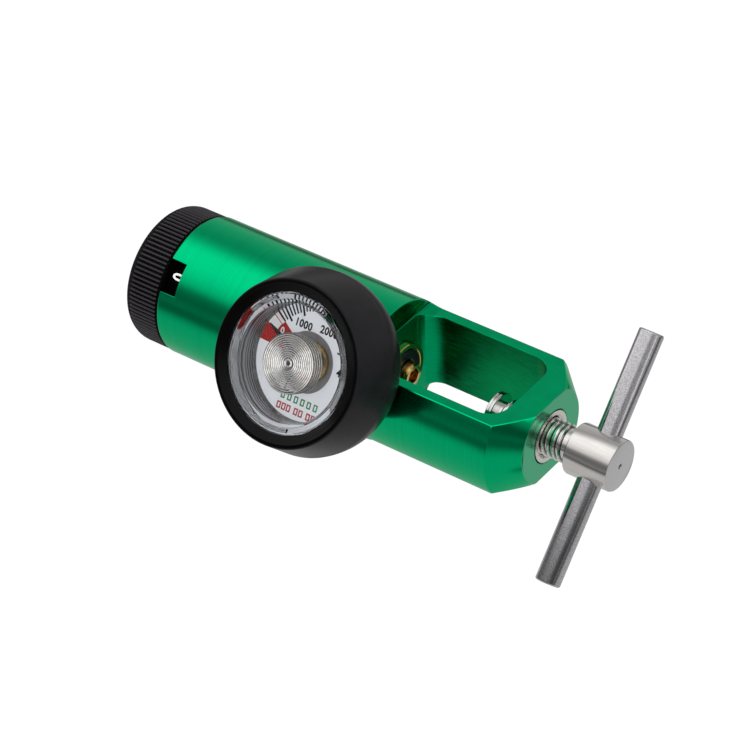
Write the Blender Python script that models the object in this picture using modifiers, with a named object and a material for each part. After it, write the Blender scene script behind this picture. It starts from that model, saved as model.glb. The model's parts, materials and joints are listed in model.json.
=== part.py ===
"""Oxygen flow regulator for a pin-indexed post valve, as an assembly of separate pieces.

The frame is metres, +X along the body towards the tee handle, +Z up through the yoke slot, and the
origin on the body's axis at the face of the inlet seal. The pressure gauge leans up from -Y.
"""

import math

import bmesh
import bpy
from mathutils import Matrix, Vector

MM = 0.001
COLLECTION = "oxygen_flow_regulator"
WELD = 0.00001
SHARP_ANGLE = math.radians(32)

# Running clearances between neighbouring pieces
SEAT_GAP = 0.3 * MM
SLIDING_GAP = 0.25 * MM
PRESSED_GAP = 0.12 * MM

# How far a cutter runs past the face it opens
OVERRUN = 1.0 * MM

# Body: one turned and milled aluminium bar
BODY_RADIUS = 19.05 * MM
BODY_RIM_X = -65.7 * MM
RIM_CHAMFER = 0.35 * MM
FLAT_HALF_HEIGHT = 10.75 * MM
SCOOP_FILLET = 3.2 * MM
SCOOP_STEP = 0.35 * MM
CONE_START_X = 37.2 * MM
END_FACE_X = 44.1 * MM
END_FACE_DROP = 6.6 * MM
BODY_STEPS = 48
BORE_STEPS = 28
SMALL_STEPS = 16

# Yoke slot for the valve post
SLOT_RIGHT_X = 36.55 * MM
SLOT_SIDE_WALL = 6.2 * MM
SLOT_CORNER_RADIUS = 5.6 * MM

# Inlet: seal washer, nozzle, filter and the two index pins
SEAL_THICKNESS = 1.9 * MM
SEAL_RIM_RADIUS = 7.98 * MM
SEAL_RIM_WIDTH = 1.4 * MM
SEAL_RUBBER_PROUD = 0.22 * MM
NOZZLE_RADIUS = 3.4 * MM
NOZZLE_REACH = 2.55 * MM
NOZZLE_DEPTH = 8.7 * MM
NOZZLE_CHAMFER = 0.35 * MM
NOZZLE_HEX_FLATS = 4.0 * MM
NOZZLE_HEX_DEPTH = 3.4 * MM
NOZZLE_BORE_RADIUS = 1.2 * MM
FILTER_RADIUS = 2.0 * MM
FILTER_LENGTH = 3.2 * MM
PIN_RADIUS = 1.98 * MM
PIN_CIRCLE_RADIUS = 14.3 * MM
PIN_ANGLE = math.radians(18)
PIN_REACH = 5.4 * MM
PIN_DEPTH = 6.5 * MM

# Clamp: threaded insert, screw with its hub, tee bar and swivelling foot
INSERT_FLANGE_WIDTH = 0.85 * MM
INSERT_FLANGE_THICKNESS = 0.8 * MM
INSERT_WALL = 0.95 * MM
SCREW_RADIUS = 4.9 * MM
SCREW_TIP_X = 31.0 * MM
SCREW_TIP_CHAMFER = 0.9 * MM
HUB_REAR_X = 51.6 * MM
HUB_LENGTH = 12.5 * MM
HUB_RADIUS = 6.75 * MM
HUB_CHAMFER = 0.4 * MM
HUB_DIMPLE_RADIUS = 0.9 * MM
TEE_RADIUS = 3.25 * MM
TEE_HALF_LENGTH = 33.1 * MM
TEE_CHAMFER = 0.45 * MM
TEE_OFFSET = 0.35 * MM
TEE_ANGLE = math.radians(47.4)
FOOT_FACE_X = 27.4 * MM
FOOT_RADIUS = 5.55 * MM
FOOT_THICKNESS = 1.7 * MM
FOOT_GROOVE_DEPTH = 0.3 * MM
FOOT_COLLAR_RADIUS = 3.5 * MM
PILOT_RADIUS = 2.1 * MM

# Gauge: depths and heights run out along its stem
GAUGE_X = -10.67 * MM
GAUGE_TILT = math.radians(30.9)
GAUGE_PORT_RADIUS = 5.0 * MM
GAUGE_SHANK_END = 9.5 * MM
BOOT_STANDOFF = 0.85 * MM
BOOT_WIDEST_DEPTH = 9.3 * MM
BOOT_SIDE_WALL = 4.7 * MM
BOOT_FRONT_WALL = 2.1 * MM
BOOT_REAR_LIP = 0.4 * MM
BOOT_REAR_WALL = 1.7 * MM
BOOT_RIM_ROUND = 0.6 * MM
BOOT_RIM_WIDTH = 1.2 * MM
BOOT_LIP_DEPTH = 0.7 * MM
CASE_RADIUS = 18.9 * MM
CASE_WALL = 0.95 * MM
CASE_FLOOR_DEPTH = 7.3 * MM
CASE_FLOOR_THICKNESS = 1.3 * MM
CASE_RIM_DEPTH = 1.2 * MM
DIAL_HEIGHT = 2.6 * MM
DIAL_THICKNESS = 0.4 * MM
DIAL_HOLE_RADIUS = 7.8 * MM
DIAL_LEDGE_WIDTH = 2.4 * MM
LENS_RIM_WIDTH = 1.65 * MM
LENS_SETBACK = 1.1 * MM
LENS_CROWN = 0.9 * MM
LENS_THICKNESS = 1.1 * MM
LENS_SKIRT = 0.8 * MM
SOCKET_HEAD_RADIUS = 5.2 * MM
SOCKET_HEAD_THICKNESS = 1.1 * MM
SOCKET_NECK_RADIUS = 3.8 * MM
SOCKET_COLLAR_RADIUS = 7.0 * MM
COIL_TUBE_RADIUS = 0.33 * MM
COIL_RADIUS = 6.9 * MM
COIL_CLEARANCE = 1.095 * MM
COIL_PITCH = 1.0 * MM
COIL_STACK_TURNS = 4
COIL_FACE_TURNS = 6
COIL_FACE_INNER_RADIUS = 1.5 * MM
COIL_FEED_ANGLE = math.radians(-100)
COIL_POINTS_PER_TURN = 14
POINTER_HEIGHT = 2.5 * MM
POINTER_THICKNESS = 0.3 * MM
POINTER_REACH = 13.3 * MM
POINTER_HUB_RADIUS = 1.9 * MM
POINTER_HALF_WIDTH = 0.55 * MM
POINTER_ZERO = math.radians(152.5)
STAFF_RADIUS = 0.5 * MM

# Flow selector: head, orifice disc, spindle, drum and knob
STEPPED_BORE_X = -57.0 * MM
DRUM_BORE_WALL = 1.55 * MM
HEAD_BORE_STEP = 1.5 * MM
HEAD_FACE_X = -42.3 * MM
HEAD_FLANGE_THICKNESS = 1.2 * MM
HEAD_BOSS_RADIUS = 5.5 * MM
HEAD_BOSS_LENGTH = 2.1 * MM
CLICKS = 12
DISC_GAP = 0.5 * MM
DISC_THICKNESS = 2.2 * MM
ORIFICE_INSET = 2.4 * MM
SMALLEST_ORIFICE = 0.35 * MM
LARGEST_ORIFICE = 0.95 * MM
DETENT_INSET = 2.1 * MM
DETENT_BALL_RADIUS = 1.6 * MM
DETENT_POCKET_DEPTH = 6.2 * MM
DIMPLE_DEPTH = 0.4 * MM
SPINDLE_RADIUS = 2.5 * MM
SPINDLE_HEAD_RADIUS = 4.2 * MM
SPINDLE_HEAD_THICKNESS = 0.7 * MM
OUTLET_PORT_RADIUS = 1.5 * MM
KNOB_GAP = 0.35 * MM
KNOB_LENGTH = 11.85 * MM
KNOB_INSET = 0.2 * MM
KNOB_EDGE_RADIUS = 4.2 * MM
KNOB_RIDGES = 96
KNOB_GROOVE_DEPTH = 0.5 * MM
KNOB_GROOVE_WIDTH = 0.62 * MM
KNOB_END_WALL = 3.0 * MM
KNOB_HUB_RADIUS = 5.0 * MM
KNOB_SCREW_RADIUS = 1.2 * MM
KNOB_SCREW_HEAD_RADIUS = 3.4 * MM
KNOB_SCREW_LENGTH = 6.5 * MM
DRUM_GAP = 0.4 * MM
DRUM_NECK_STEP = 1.5 * MM
DRUM_WALL = 2.0 * MM
DRUM_NECK_LENGTH = 6.6 * MM
WINDOW_LENGTH = 5.0 * MM
WINDOW_WIDTH = 8.86 * MM
WINDOW_ANGLE = math.radians(40.5)

# Pressure reducer: piston, its seat and spring
PISTON_BORE_STEP = 2.0 * MM
PISTON_HEAD_LEFT_X = -37.4 * MM
PISTON_HEAD_THICKNESS = 3.6 * MM
SPRING_SHOULDER_X = -24.0 * MM
STEM_BORE_RADIUS = 5.6 * MM
STEM_BORE_END_X = -13.6 * MM
STEM_TIP_RADIUS = 4.0 * MM
STEM_TIP_LENGTH = 3.8 * MM
CROWN_HEIGHT = 1.6 * MM
CROWN_RADIUS = 2.2 * MM
PASSAGE_RADIUS = 1.5 * MM
SEAT_LIFT = 0.8 * MM
PAD_RADIUS = 2.7 * MM
PAD_THICKNESS = 1.5 * MM
GAS_BORE_RADIUS = 0.9 * MM
SPRING_RADIUS = 8.4 * MM
SPRING_WIRE_RADIUS = 0.8 * MM
SPRING_TURNS = 3.5
VENT_RADIUS = 0.8 * MM
VENT_ANGLE = math.radians(184)

# Outlet barb on the side away from the gauge
BARB_X = -50.0 * MM
BARB_SHANK_RADIUS = 3.6 * MM
BARB_HEX_RADIUS = 6.3 * MM
BARB_HEX_HEIGHT = 4.5 * MM
BARB_STEM_RADIUS = 2.5 * MM
BARB_RADIUS = 3.3 * MM
BARB_PITCH = 4.0 * MM
BARB_COUNT = 4
BARB_BORE_RADIUS = 1.4 * MM

# Sizes that follow from the ones above
SEAL_FACE_X = 0.0
END_FACE_RADIUS = BODY_RADIUS - END_FACE_DROP
SLOT_HALF_WIDTH = BODY_RADIUS - SLOT_SIDE_WALL
SLOT_LEFT_X = SEAL_FACE_X - SEAL_THICKNESS
SCOOP_WALL_X = SLOT_LEFT_X - SCOOP_STEP
HUB_FACE_X = HUB_REAR_X + HUB_LENGTH
TEE_X = HUB_REAR_X + HUB_LENGTH / 2 + TEE_OFFSET
KNOB_FACE_X = BODY_RIM_X - KNOB_GAP
KNOB_END_X = KNOB_FACE_X - KNOB_LENGTH
CROWN_X = STEM_BORE_END_X - CROWN_HEIGHT
STEM_TIP_X = CROWN_X - SEAT_LIFT
PISTON_HEAD_RIGHT_X = PISTON_HEAD_LEFT_X + PISTON_HEAD_THICKNESS
NOZZLE_END_X = SEAL_FACE_X - NOZZLE_DEPTH
INSERT_BORE_RADIUS = SCREW_RADIUS + SLIDING_GAP
INSERT_BODY_RADIUS = INSERT_BORE_RADIUS + INSERT_WALL
INSERT_FLANGE_RADIUS = INSERT_BODY_RADIUS + INSERT_FLANGE_WIDTH
DISC_FACE_X = HEAD_FACE_X + SEAT_GAP
DISC_RIGHT_X = DISC_FACE_X + DISC_THICKNESS
SPINDLE_END_X = DISC_RIGHT_X + SEAT_GAP + SPINDLE_HEAD_THICKNESS
HEAD_FLANGE_LEFT_X = STEPPED_BORE_X - SEAT_GAP - HEAD_FLANGE_THICKNESS
HEAD_BOSS_X = HEAD_FLANGE_LEFT_X - HEAD_BOSS_LENGTH
DRUM_BORE_RADIUS = BODY_RADIUS - DRUM_BORE_WALL
HEAD_BORE_RADIUS = DRUM_BORE_RADIUS - HEAD_BORE_STEP
PISTON_BORE_RADIUS = HEAD_BORE_RADIUS - PISTON_BORE_STEP
DISC_RADIUS = PISTON_BORE_RADIUS - DISC_GAP
DETENT_CIRCLE_RADIUS = DISC_RADIUS - DETENT_INSET
ORIFICE_CIRCLE_RADIUS = DETENT_CIRCLE_RADIUS - ORIFICE_INSET
KNOB_RADIUS = BODY_RADIUS - KNOB_INSET
DRUM_RADIUS = DRUM_BORE_RADIUS - DRUM_GAP
DRUM_NECK_RADIUS = DRUM_RADIUS - DRUM_NECK_STEP
DRUM_INNER_RADIUS = DRUM_NECK_RADIUS - DRUM_WALL
GAUGE_DIRECTION = Vector((0, -math.cos(GAUGE_TILT), math.sin(GAUGE_TILT)))
BOOT_REAR = BODY_RADIUS + BOOT_STANDOFF
BOOT_WIDEST = BOOT_REAR + BOOT_WIDEST_DEPTH
BOOT_WIDEST_RADIUS = CASE_RADIUS + BOOT_SIDE_WALL
BOOT_FRONT_RADIUS = CASE_RADIUS + BOOT_FRONT_WALL
BOOT_REAR_RADIUS = CASE_RADIUS + BOOT_REAR_LIP
CASE_FLOOR = BOOT_REAR + CASE_FLOOR_DEPTH
DIAL_FACE = CASE_FLOOR + DIAL_HEIGHT
POINTER_FACE = DIAL_FACE + POINTER_HEIGHT
COIL_STACK_START = POINTER_FACE + COIL_CLEARANCE
COIL_FRONT = COIL_STACK_START + COIL_PITCH * COIL_STACK_TURNS
LENS_EDGE = COIL_FRONT + COIL_TUBE_RADIUS + SEAT_GAP + LENS_THICKNESS - LENS_CROWN / 4
BOOT_FRONT = LENS_EDGE + LENS_SETBACK
LENS_SIGHT_RADIUS = CASE_RADIUS - LENS_RIM_WIDTH


def part_collection():
    """The collection that holds the pieces, made on first use."""
    return named_collection(COLLECTION)


def named_collection(name):
    found = bpy.data.collections.get(name)
    if found is None:
        found = bpy.data.collections.new(name)
        bpy.context.scene.collection.children.link(found)
    return found


def material(name, colour, roughness, metallic=0.0, alpha=1.0):
    found = bpy.data.materials.get(name)
    if found is None:
        found = bpy.data.materials.new(name)
        found.use_nodes = True
        shader = found.node_tree.nodes["Principled BSDF"]
        shader.inputs["Base Color"].default_value = (*colour, 1.0)
        shader.inputs["Roughness"].default_value = roughness
        shader.inputs["Metallic"].default_value = metallic
        shader.inputs["Alpha"].default_value = alpha
    return found


def frame_along_x(x=0.0):
    """A frame whose local Z runs along the body's axis, from the given place on it."""
    return Matrix(((0, 0, 1, x), (1, 0, 0, 0), (0, 1, 0, 0), (0, 0, 0, 1)))


def frame_on_gauge():
    """Local Z runs out along the gauge's stem, local X along the body and local Y up the dial."""
    out = GAUGE_DIRECTION
    up = out.cross(Vector((1, 0, 0)))
    return Matrix(((1, 0, 0, GAUGE_X), (0, up.y, out.y, 0), (0, up.z, out.z, 0), (0, 0, 0, 1)))


def frame_on_outlet():
    """Local Z runs out along the outlet barb, opposite to the gauge."""
    out = -GAUGE_DIRECTION
    side = out.cross(Vector((1, 0, 0)))
    return Matrix(((1, 0, 0, BARB_X), (0, side.y, out.y, 0), (0, side.z, out.z, 0), (0, 0, 0, 1)))


def add_object(name, mesh, frame, finish):
    """Adds a piece to the part, or a cutter to the hidden collection when it has no finish."""
    thing = bpy.data.objects.new(name, mesh)
    thing.matrix_world = frame
    if finish is None:
        named_collection("cutters").objects.link(thing)
        thing.hide_render = True
        thing.display_type = "WIRE"
    else:
        part_collection().objects.link(thing)
        mesh.materials.append(finish)
    return thing


def turned(name, profile, steps, frame, finish=None):
    """A turned piece: the profile's (place along the axis, radius) points, outer side first and
    from the far end back, closed on itself unless both ends lie on the axis."""
    mesh = bpy.data.meshes.new(name)
    ends_on_axis = profile[0][1] == 0 and profile[-1][1] == 0
    count = len(profile)
    edges = [(i, i + 1) for i in range(count - 1)]
    if not ends_on_axis:
        edges.append((count - 1, 0))
    mesh.from_pydata([(radius, 0, along) for along, radius in profile], edges, [])
    thing = add_object(name, mesh, frame, finish)
    screw = thing.modifiers.new("turn", "SCREW")
    screw.axis = "Z"
    screw.angle = 2 * math.pi
    screw.steps = steps
    screw.render_steps = steps
    screw.use_merge_vertices = True
    screw.merge_threshold = WELD
    screw.use_smooth_shade = True
    return thing


def rod(name, radius, start, end, steps, frame, finish=None):
    """A plain cylinder along the frame's local Z."""
    return turned(name, [(end, 0), (end, radius), (start, radius), (start, 0)], steps, frame, finish)


def pin_profile(radius, start, end, chamfer):
    """The profile of a rod with both ends chamfered."""
    inner = radius - chamfer
    return [(end, 0), (end, inner), (end - chamfer, radius), (start + chamfer, radius), (start, inner), (start, 0)]


def arc(centre, radius, first, last, count):
    """Points of an arc, both ends included, with angles in radians."""
    turn = (last - first) / count
    angles = [first + turn * i for i in range(count + 1)]
    return [(centre[0] + radius * math.cos(a), centre[1] + radius * math.sin(a)) for a in angles]


def ring(name, middle, centre_radius, section_radius, steps, frame, finish):
    """An O-ring: a round section turned about the axis."""
    section = arc((middle, centre_radius), section_radius, 0, 2 * math.pi, 7)[:-1]
    return turned(name, section, steps, frame, finish)


def prism(name, outline, thickness, frame, finish=None):
    """A flat outline in the frame's local XY plane, filled and extruded both ways from it."""
    curve = bpy.data.curves.new(name, "CURVE")
    curve.dimensions = "2D"
    curve.fill_mode = "BOTH"
    curve.extrude = thickness / 2
    spline = curve.splines.new("POLY")
    spline.points.add(len(outline) - 1)
    for point, (x, y) in zip(spline.points, outline):
        point.co = (x, y, 0, 1)
    spline.use_cyclic_u = True
    return solid_from_curve(name, curve, frame, finish)


def wire(name, points, radius, sides_setting, frame, finish):
    """A round wire or tube through the points, with closed ends."""
    curve = bpy.data.curves.new(name, "CURVE")
    curve.dimensions = "3D"
    curve.bevel_depth = radius
    curve.bevel_resolution = sides_setting
    curve.use_fill_caps = True
    spline = curve.splines.new("POLY")
    spline.points.add(len(points) - 1)
    for point, place in zip(spline.points, points):
        point.co = (*place, 1)
    return solid_from_curve(name, curve, frame, finish)


def solid_from_curve(name, curve, frame, finish):
    """Turns a curve into a mesh with its caps welded on, so that it can be cut or can cut."""
    guide = bpy.data.objects.new(name + "_guide", curve)
    bpy.context.scene.collection.objects.link(guide)
    graph = bpy.context.evaluated_depsgraph_get()
    mesh = bpy.data.meshes.new_from_object(guide.evaluated_get(graph))
    bpy.data.objects.remove(guide)
    shape = bmesh.new()
    shape.from_mesh(mesh)
    bmesh.ops.remove_doubles(shape, verts=shape.verts, dist=WELD)
    bmesh.ops.recalc_face_normals(shape, faces=shape.faces)
    shape.to_mesh(mesh)
    shape.free()
    mesh.name = name
    return add_object(name, mesh, frame, finish)


def cut(thing, cutter):
    boolean = thing.modifiers.new("cut " + cutter.name, "BOOLEAN")
    boolean.operation = "DIFFERENCE"
    boolean.solver = "EXACT"
    boolean.object = cutter


def regular_outline(corners, radius, turn=0.0):
    step = 2 * math.pi / corners
    return [(radius * math.cos(turn + i * step), radius * math.sin(turn + i * step)) for i in range(corners)]


def rounded_box_outline(left, right, half_width, corner):
    """A rectangle with round corners, about the X axis, from left to right."""
    points = []
    corners = ((right, 1, 0.0), (left, 1, 0.5), (left, -1, 1.0), (right, -1, 1.5))
    for x, side, start in corners:
        centre_x = x - corner if x == right else x + corner
        centre = (centre_x, side * (half_width - corner))
        points += arc(centre, corner, math.pi * start, math.pi * (start + 0.5), 6)
    return points


def finishes():
    """Every material of the part, by its plain name."""
    return {
        "green": material("green_anodised_aluminium", (0.0, 0.27, 0.1), 0.32, 0.9),
        "black": material("black_anodised_aluminium", (0.012, 0.012, 0.013), 0.4, 0.4),
        "print": material("black_numbered_drum", (0.006, 0.006, 0.006), 0.45),
        "steel": material("stainless_steel", (0.6, 0.59, 0.58), 0.3, 1.0),
        "nickel": material("nickel_plated_steel", (0.7, 0.67, 0.62), 0.25, 1.0),
        "brass": material("brass", (0.65, 0.46, 0.16), 0.28, 1.0),
        "bronze": material("sintered_bronze", (0.45, 0.28, 0.14), 0.7, 0.8),
        "rubber": material("black_rubber", (0.016, 0.016, 0.017), 0.5),
        "nylon": material("white_nylon", (0.8, 0.79, 0.74), 0.5),
        "dial": material("white_dial", (0.78, 0.79, 0.8), 0.5),
        "lens": material("clear_lens", (0.95, 0.96, 0.97), 0.03, 0.0, 0.2),
        "spring": material("spring_steel", (0.42, 0.42, 0.43), 0.35, 1.0),
        "pointer": material("black_pointer", (0.01, 0.01, 0.01), 0.5),
        "aluminium": material("plain_aluminium", (0.75, 0.75, 0.76), 0.35, 1.0),
    }


def body_outside():
    """The bar as turned outside, from the handle end to the knob end."""
    return [
        (END_FACE_X, 0),
        (END_FACE_X, END_FACE_RADIUS),
        (CONE_START_X, BODY_RADIUS),
        (BODY_RIM_X + RIM_CHAMFER, BODY_RADIUS),
        (BODY_RIM_X, BODY_RADIUS - RIM_CHAMFER),
        (BODY_RIM_X, 0),
    ]


def body_bores():
    """The bores through the bar, from the handle end to the knob end, as one turned cutter."""
    insert_seat = END_FACE_X - INSERT_FLANGE_THICKNESS - SEAT_GAP
    insert_bore = INSERT_BODY_RADIUS + PRESSED_GAP
    nozzle_bore = NOZZLE_RADIUS + PRESSED_GAP
    nozzle_seat = NOZZLE_END_X - SEAT_GAP
    head_shoulder = HEAD_FACE_X + SEAT_GAP
    slot_middle = (SLOT_LEFT_X + SLOT_RIGHT_X) / 2
    flange_bore = INSERT_FLANGE_RADIUS + PRESSED_GAP
    left_to_right = [
        (BODY_RIM_X - OVERRUN, 0),
        (BODY_RIM_X - OVERRUN, DRUM_BORE_RADIUS),
        (STEPPED_BORE_X, DRUM_BORE_RADIUS),
        (STEPPED_BORE_X, HEAD_BORE_RADIUS),
        (head_shoulder, HEAD_BORE_RADIUS),
        (head_shoulder, PISTON_BORE_RADIUS),
        (SPRING_SHOULDER_X, PISTON_BORE_RADIUS),
        (SPRING_SHOULDER_X, STEM_BORE_RADIUS),
        (STEM_BORE_END_X, STEM_BORE_RADIUS),
        (STEM_BORE_END_X, CROWN_RADIUS + CROWN_HEIGHT / 2),
        (CROWN_X, CROWN_RADIUS),
        (CROWN_X, PASSAGE_RADIUS),
        (nozzle_seat, PASSAGE_RADIUS),
        (nozzle_seat, nozzle_bore),
        (slot_middle, nozzle_bore),
        (slot_middle, insert_bore),
        (insert_seat, insert_bore),
        (insert_seat, flange_bore),
        (END_FACE_X + OVERRUN, flange_bore),
        (END_FACE_X + OVERRUN, 0),
    ]
    return list(reversed(left_to_right))


def flat_cutters():
    """The milled flats above and below the yoke, each ending in a filleted wall behind the seal."""
    reach = BODY_RADIUS * 1.4
    fillet_middle = (SCOOP_WALL_X + SCOOP_FILLET, FLAT_HALF_HEIGHT + SCOOP_FILLET)
    outline = [(SCOOP_WALL_X, reach)]
    outline += arc(fillet_middle, SCOOP_FILLET, math.pi, 1.5 * math.pi, 6)
    outline += [(END_FACE_X + reach, FLAT_HALF_HEIGHT), (END_FACE_X + reach, reach)]
    cutters = []
    for name, side in (("top_flat", 1), ("bottom_flat", -1)):
        points = [(x, side * z) for x, z in outline]
        upright = Matrix.Rotation(math.pi / 2, 4, "X")
        cutters.append(prism(name, points, 2 * reach, upright))
    return cutters


def window_cutter():
    """The reading window, milled into the rim over the numbered drum."""
    middle = Matrix.Rotation(-WINDOW_ANGLE, 4, "X") @ Matrix.Translation((0, -BODY_RADIUS, 0))
    half = WINDOW_WIDTH / 2
    left = BODY_RIM_X - WINDOW_LENGTH
    right = BODY_RIM_X + WINDOW_LENGTH
    outline = [(left, -half), (right, -half), (right, half), (left, half)]
    depth = 2 * (BODY_RADIUS - DRUM_BORE_RADIUS) + 2 * MM
    return prism("window", outline, depth, middle @ Matrix.Rotation(math.pi / 2, 4, "X"))


def pin_places():
    """The two index pins below the nozzle, as (name, y, z)."""
    height = -PIN_CIRCLE_RADIUS * math.cos(PIN_ANGLE)
    reach = PIN_CIRCLE_RADIUS * math.sin(PIN_ANGLE)
    return (("index_pin_front", -reach, height), ("index_pin_rear", reach, height))


def build_body(finish):
    body = turned("body_yoke", body_outside(), BODY_STEPS, frame_along_x(), finish["green"])
    cut(body, turned("stepped_bores", body_bores(), BORE_STEPS, frame_along_x()))
    for cutter in flat_cutters():
        cut(body, cutter)
    slot = rounded_box_outline(SLOT_LEFT_X, SLOT_RIGHT_X, SLOT_HALF_WIDTH, SLOT_CORNER_RADIUS)
    cut(body, prism("yoke_slot", slot, 4 * BODY_RADIUS, Matrix.Identity(4)))
    cut(body, window_cutter())
    gauge = frame_on_gauge()
    cut(body, rod("gauge_port", GAUGE_PORT_RADIUS, GAUGE_SHANK_END - SEAT_GAP, 2 * BODY_RADIUS, 28, gauge))
    cut(body, rod("gauge_passage", GAS_BORE_RADIUS, PASSAGE_RADIUS / 2, GAUGE_SHANK_END, 10, gauge))
    outlet = frame_on_outlet()
    cut(body, rod("outlet_hole", BARB_SHANK_RADIUS + PRESSED_GAP, PISTON_BORE_RADIUS, 2 * BODY_RADIUS, 24, outlet))
    vent_x = (SPRING_SHOULDER_X + PISTON_HEAD_RIGHT_X) / 2
    vent = Matrix.Translation((vent_x, 0, 0)) @ Matrix.Rotation(VENT_ANGLE, 4, "X")
    cut(body, rod("spring_vent", VENT_RADIUS, SPRING_RADIUS, 2 * BODY_RADIUS, 10, vent))
    for name, y, z in pin_places():
        place = Matrix.Translation((0, y, z)) @ frame_along_x()
        hole = (PIN_RADIUS + PRESSED_GAP, SCOOP_WALL_X - PIN_DEPTH - SEAT_GAP, SLOT_RIGHT_X / 2)
        cut(body, rod(name + "_hole", *hole, SMALL_STEPS, place))
    return body


def build_inlet(finish):
    axis = frame_along_x()
    wall = SLOT_LEFT_X + SEAT_GAP
    rim_inner = SEAL_RIM_RADIUS - SEAL_RIM_WIDTH
    rim = [(SEAL_FACE_X, SEAL_RIM_RADIUS), (wall, SEAL_RIM_RADIUS), (wall, rim_inner), (SEAL_FACE_X, rim_inner)]
    turned("seal_rim", rim, 36, axis, finish["brass"])
    rubber_outer = rim_inner - SLIDING_GAP
    rubber_inner = NOZZLE_RADIUS + SLIDING_GAP
    proud = SEAL_FACE_X + SEAL_RUBBER_PROUD
    rubber = [(proud, rubber_outer), (wall, rubber_outer), (wall, rubber_inner), (proud, rubber_inner)]
    turned("seal_rubber", rubber, 30, axis, finish["rubber"])

    pocket_radius = FILTER_RADIUS + PRESSED_GAP
    pocket_top = NOZZLE_END_X + FILTER_LENGTH + 2 * SEAT_GAP
    nozzle = [
        (NOZZLE_REACH, NOZZLE_RADIUS - NOZZLE_CHAMFER),
        (NOZZLE_REACH - NOZZLE_CHAMFER, NOZZLE_RADIUS),
        (NOZZLE_END_X, NOZZLE_RADIUS),
        (NOZZLE_END_X, pocket_radius),
        (pocket_top, pocket_radius),
        (pocket_top, NOZZLE_BORE_RADIUS),
        (NOZZLE_REACH, NOZZLE_BORE_RADIUS),
    ]
    piece = turned("inlet_nozzle", nozzle, 28, axis, finish["brass"])
    hexagon = regular_outline(6, NOZZLE_HEX_FLATS / math.sqrt(3))
    cut(piece, prism("nozzle_hex", hexagon, 2 * NOZZLE_HEX_DEPTH, frame_along_x(NOZZLE_REACH)))
    filter_start = NOZZLE_END_X + SEAT_GAP
    plug = pin_profile(FILTER_RADIUS, filter_start, filter_start + FILTER_LENGTH, FILTER_RADIUS / 3)
    turned("inlet_filter", plug, SMALL_STEPS, axis, finish["bronze"])

    for name, y, z in pin_places():
        start = SCOOP_WALL_X - PIN_DEPTH
        place = Matrix.Translation((0, y, z)) @ frame_along_x()
        profile = pin_profile(PIN_RADIUS, start, SCOOP_WALL_X + PIN_REACH, PIN_RADIUS / 4)
        turned(name, profile, SMALL_STEPS, place, finish["steel"])


def build_clamp(finish):
    axis = frame_along_x()
    lead_in = (INSERT_BODY_RADIUS - INSERT_BORE_RADIUS) * 0.7
    flange_rear = END_FACE_X - INSERT_FLANGE_THICKNESS
    insert = [
        (END_FACE_X, INSERT_FLANGE_RADIUS),
        (flange_rear, INSERT_FLANGE_RADIUS),
        (flange_rear, INSERT_BODY_RADIUS),
        (SLOT_RIGHT_X + SEAT_GAP, INSERT_BODY_RADIUS),
        (SLOT_RIGHT_X + SEAT_GAP, INSERT_BORE_RADIUS),
        (END_FACE_X - lead_in, INSERT_BORE_RADIUS),
        (END_FACE_X, INSERT_BORE_RADIUS + lead_in),
    ]
    turned("thread_insert", insert, 32, axis, finish["nickel"])

    pilot_end = FOOT_FACE_X + FOOT_THICKNESS / 2 + SEAT_GAP
    screw = [
        (HUB_FACE_X - HUB_DIMPLE_RADIUS, 0),
        (HUB_FACE_X, HUB_DIMPLE_RADIUS),
        (HUB_FACE_X, HUB_RADIUS - HUB_CHAMFER),
        (HUB_FACE_X - HUB_CHAMFER, HUB_RADIUS),
        (HUB_REAR_X + HUB_CHAMFER, HUB_RADIUS),
        (HUB_REAR_X, HUB_RADIUS - HUB_CHAMFER),
        (HUB_REAR_X, SCREW_RADIUS),
        (SCREW_TIP_X + SCREW_TIP_CHAMFER, SCREW_RADIUS),
        (SCREW_TIP_X, SCREW_RADIUS - SCREW_TIP_CHAMFER),
        (SCREW_TIP_X, PILOT_RADIUS),
        (pilot_end, PILOT_RADIUS),
        (pilot_end, 0),
    ]
    piece = turned("clamp_screw", screw, 30, axis, finish["steel"])
    across = Matrix.Translation((TEE_X, 0, 0)) @ Matrix.Rotation(TEE_ANGLE, 4, "X")
    bar_frame = across @ Matrix.Rotation(-math.pi / 2, 4, "X")
    cut(piece, rod("tee_hole", TEE_RADIUS + PRESSED_GAP, -2 * HUB_RADIUS, 2 * HUB_RADIUS, 28, bar_frame))
    bar = pin_profile(TEE_RADIUS, -TEE_HALF_LENGTH, TEE_HALF_LENGTH, TEE_CHAMFER)
    turned("tee_bar", bar, 28, bar_frame, finish["steel"])

    collar_end = SCREW_TIP_X - SEAT_GAP
    socket_floor = pilot_end - SEAT_GAP
    socket_radius = PILOT_RADIUS + SLIDING_GAP
    rear = FOOT_FACE_X + FOOT_THICKNESS
    groove = FOOT_THICKNESS / 5
    foot = [
        (collar_end, FOOT_COLLAR_RADIUS),
        (rear, FOOT_COLLAR_RADIUS),
        (rear, FOOT_RADIUS),
        (rear - 2 * groove, FOOT_RADIUS),
        (rear - 2 * groove, FOOT_RADIUS - FOOT_GROOVE_DEPTH),
        (rear - 3 * groove, FOOT_RADIUS - FOOT_GROOVE_DEPTH),
        (rear - 3 * groove, FOOT_RADIUS),
        (FOOT_FACE_X, FOOT_RADIUS),
        (FOOT_FACE_X, 0),
    ]
    socket = [(socket_floor, 0), (socket_floor, socket_radius), (collar_end, socket_radius)]
    turned("clamp_foot", socket + foot, 28, axis, finish["steel"])


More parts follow.
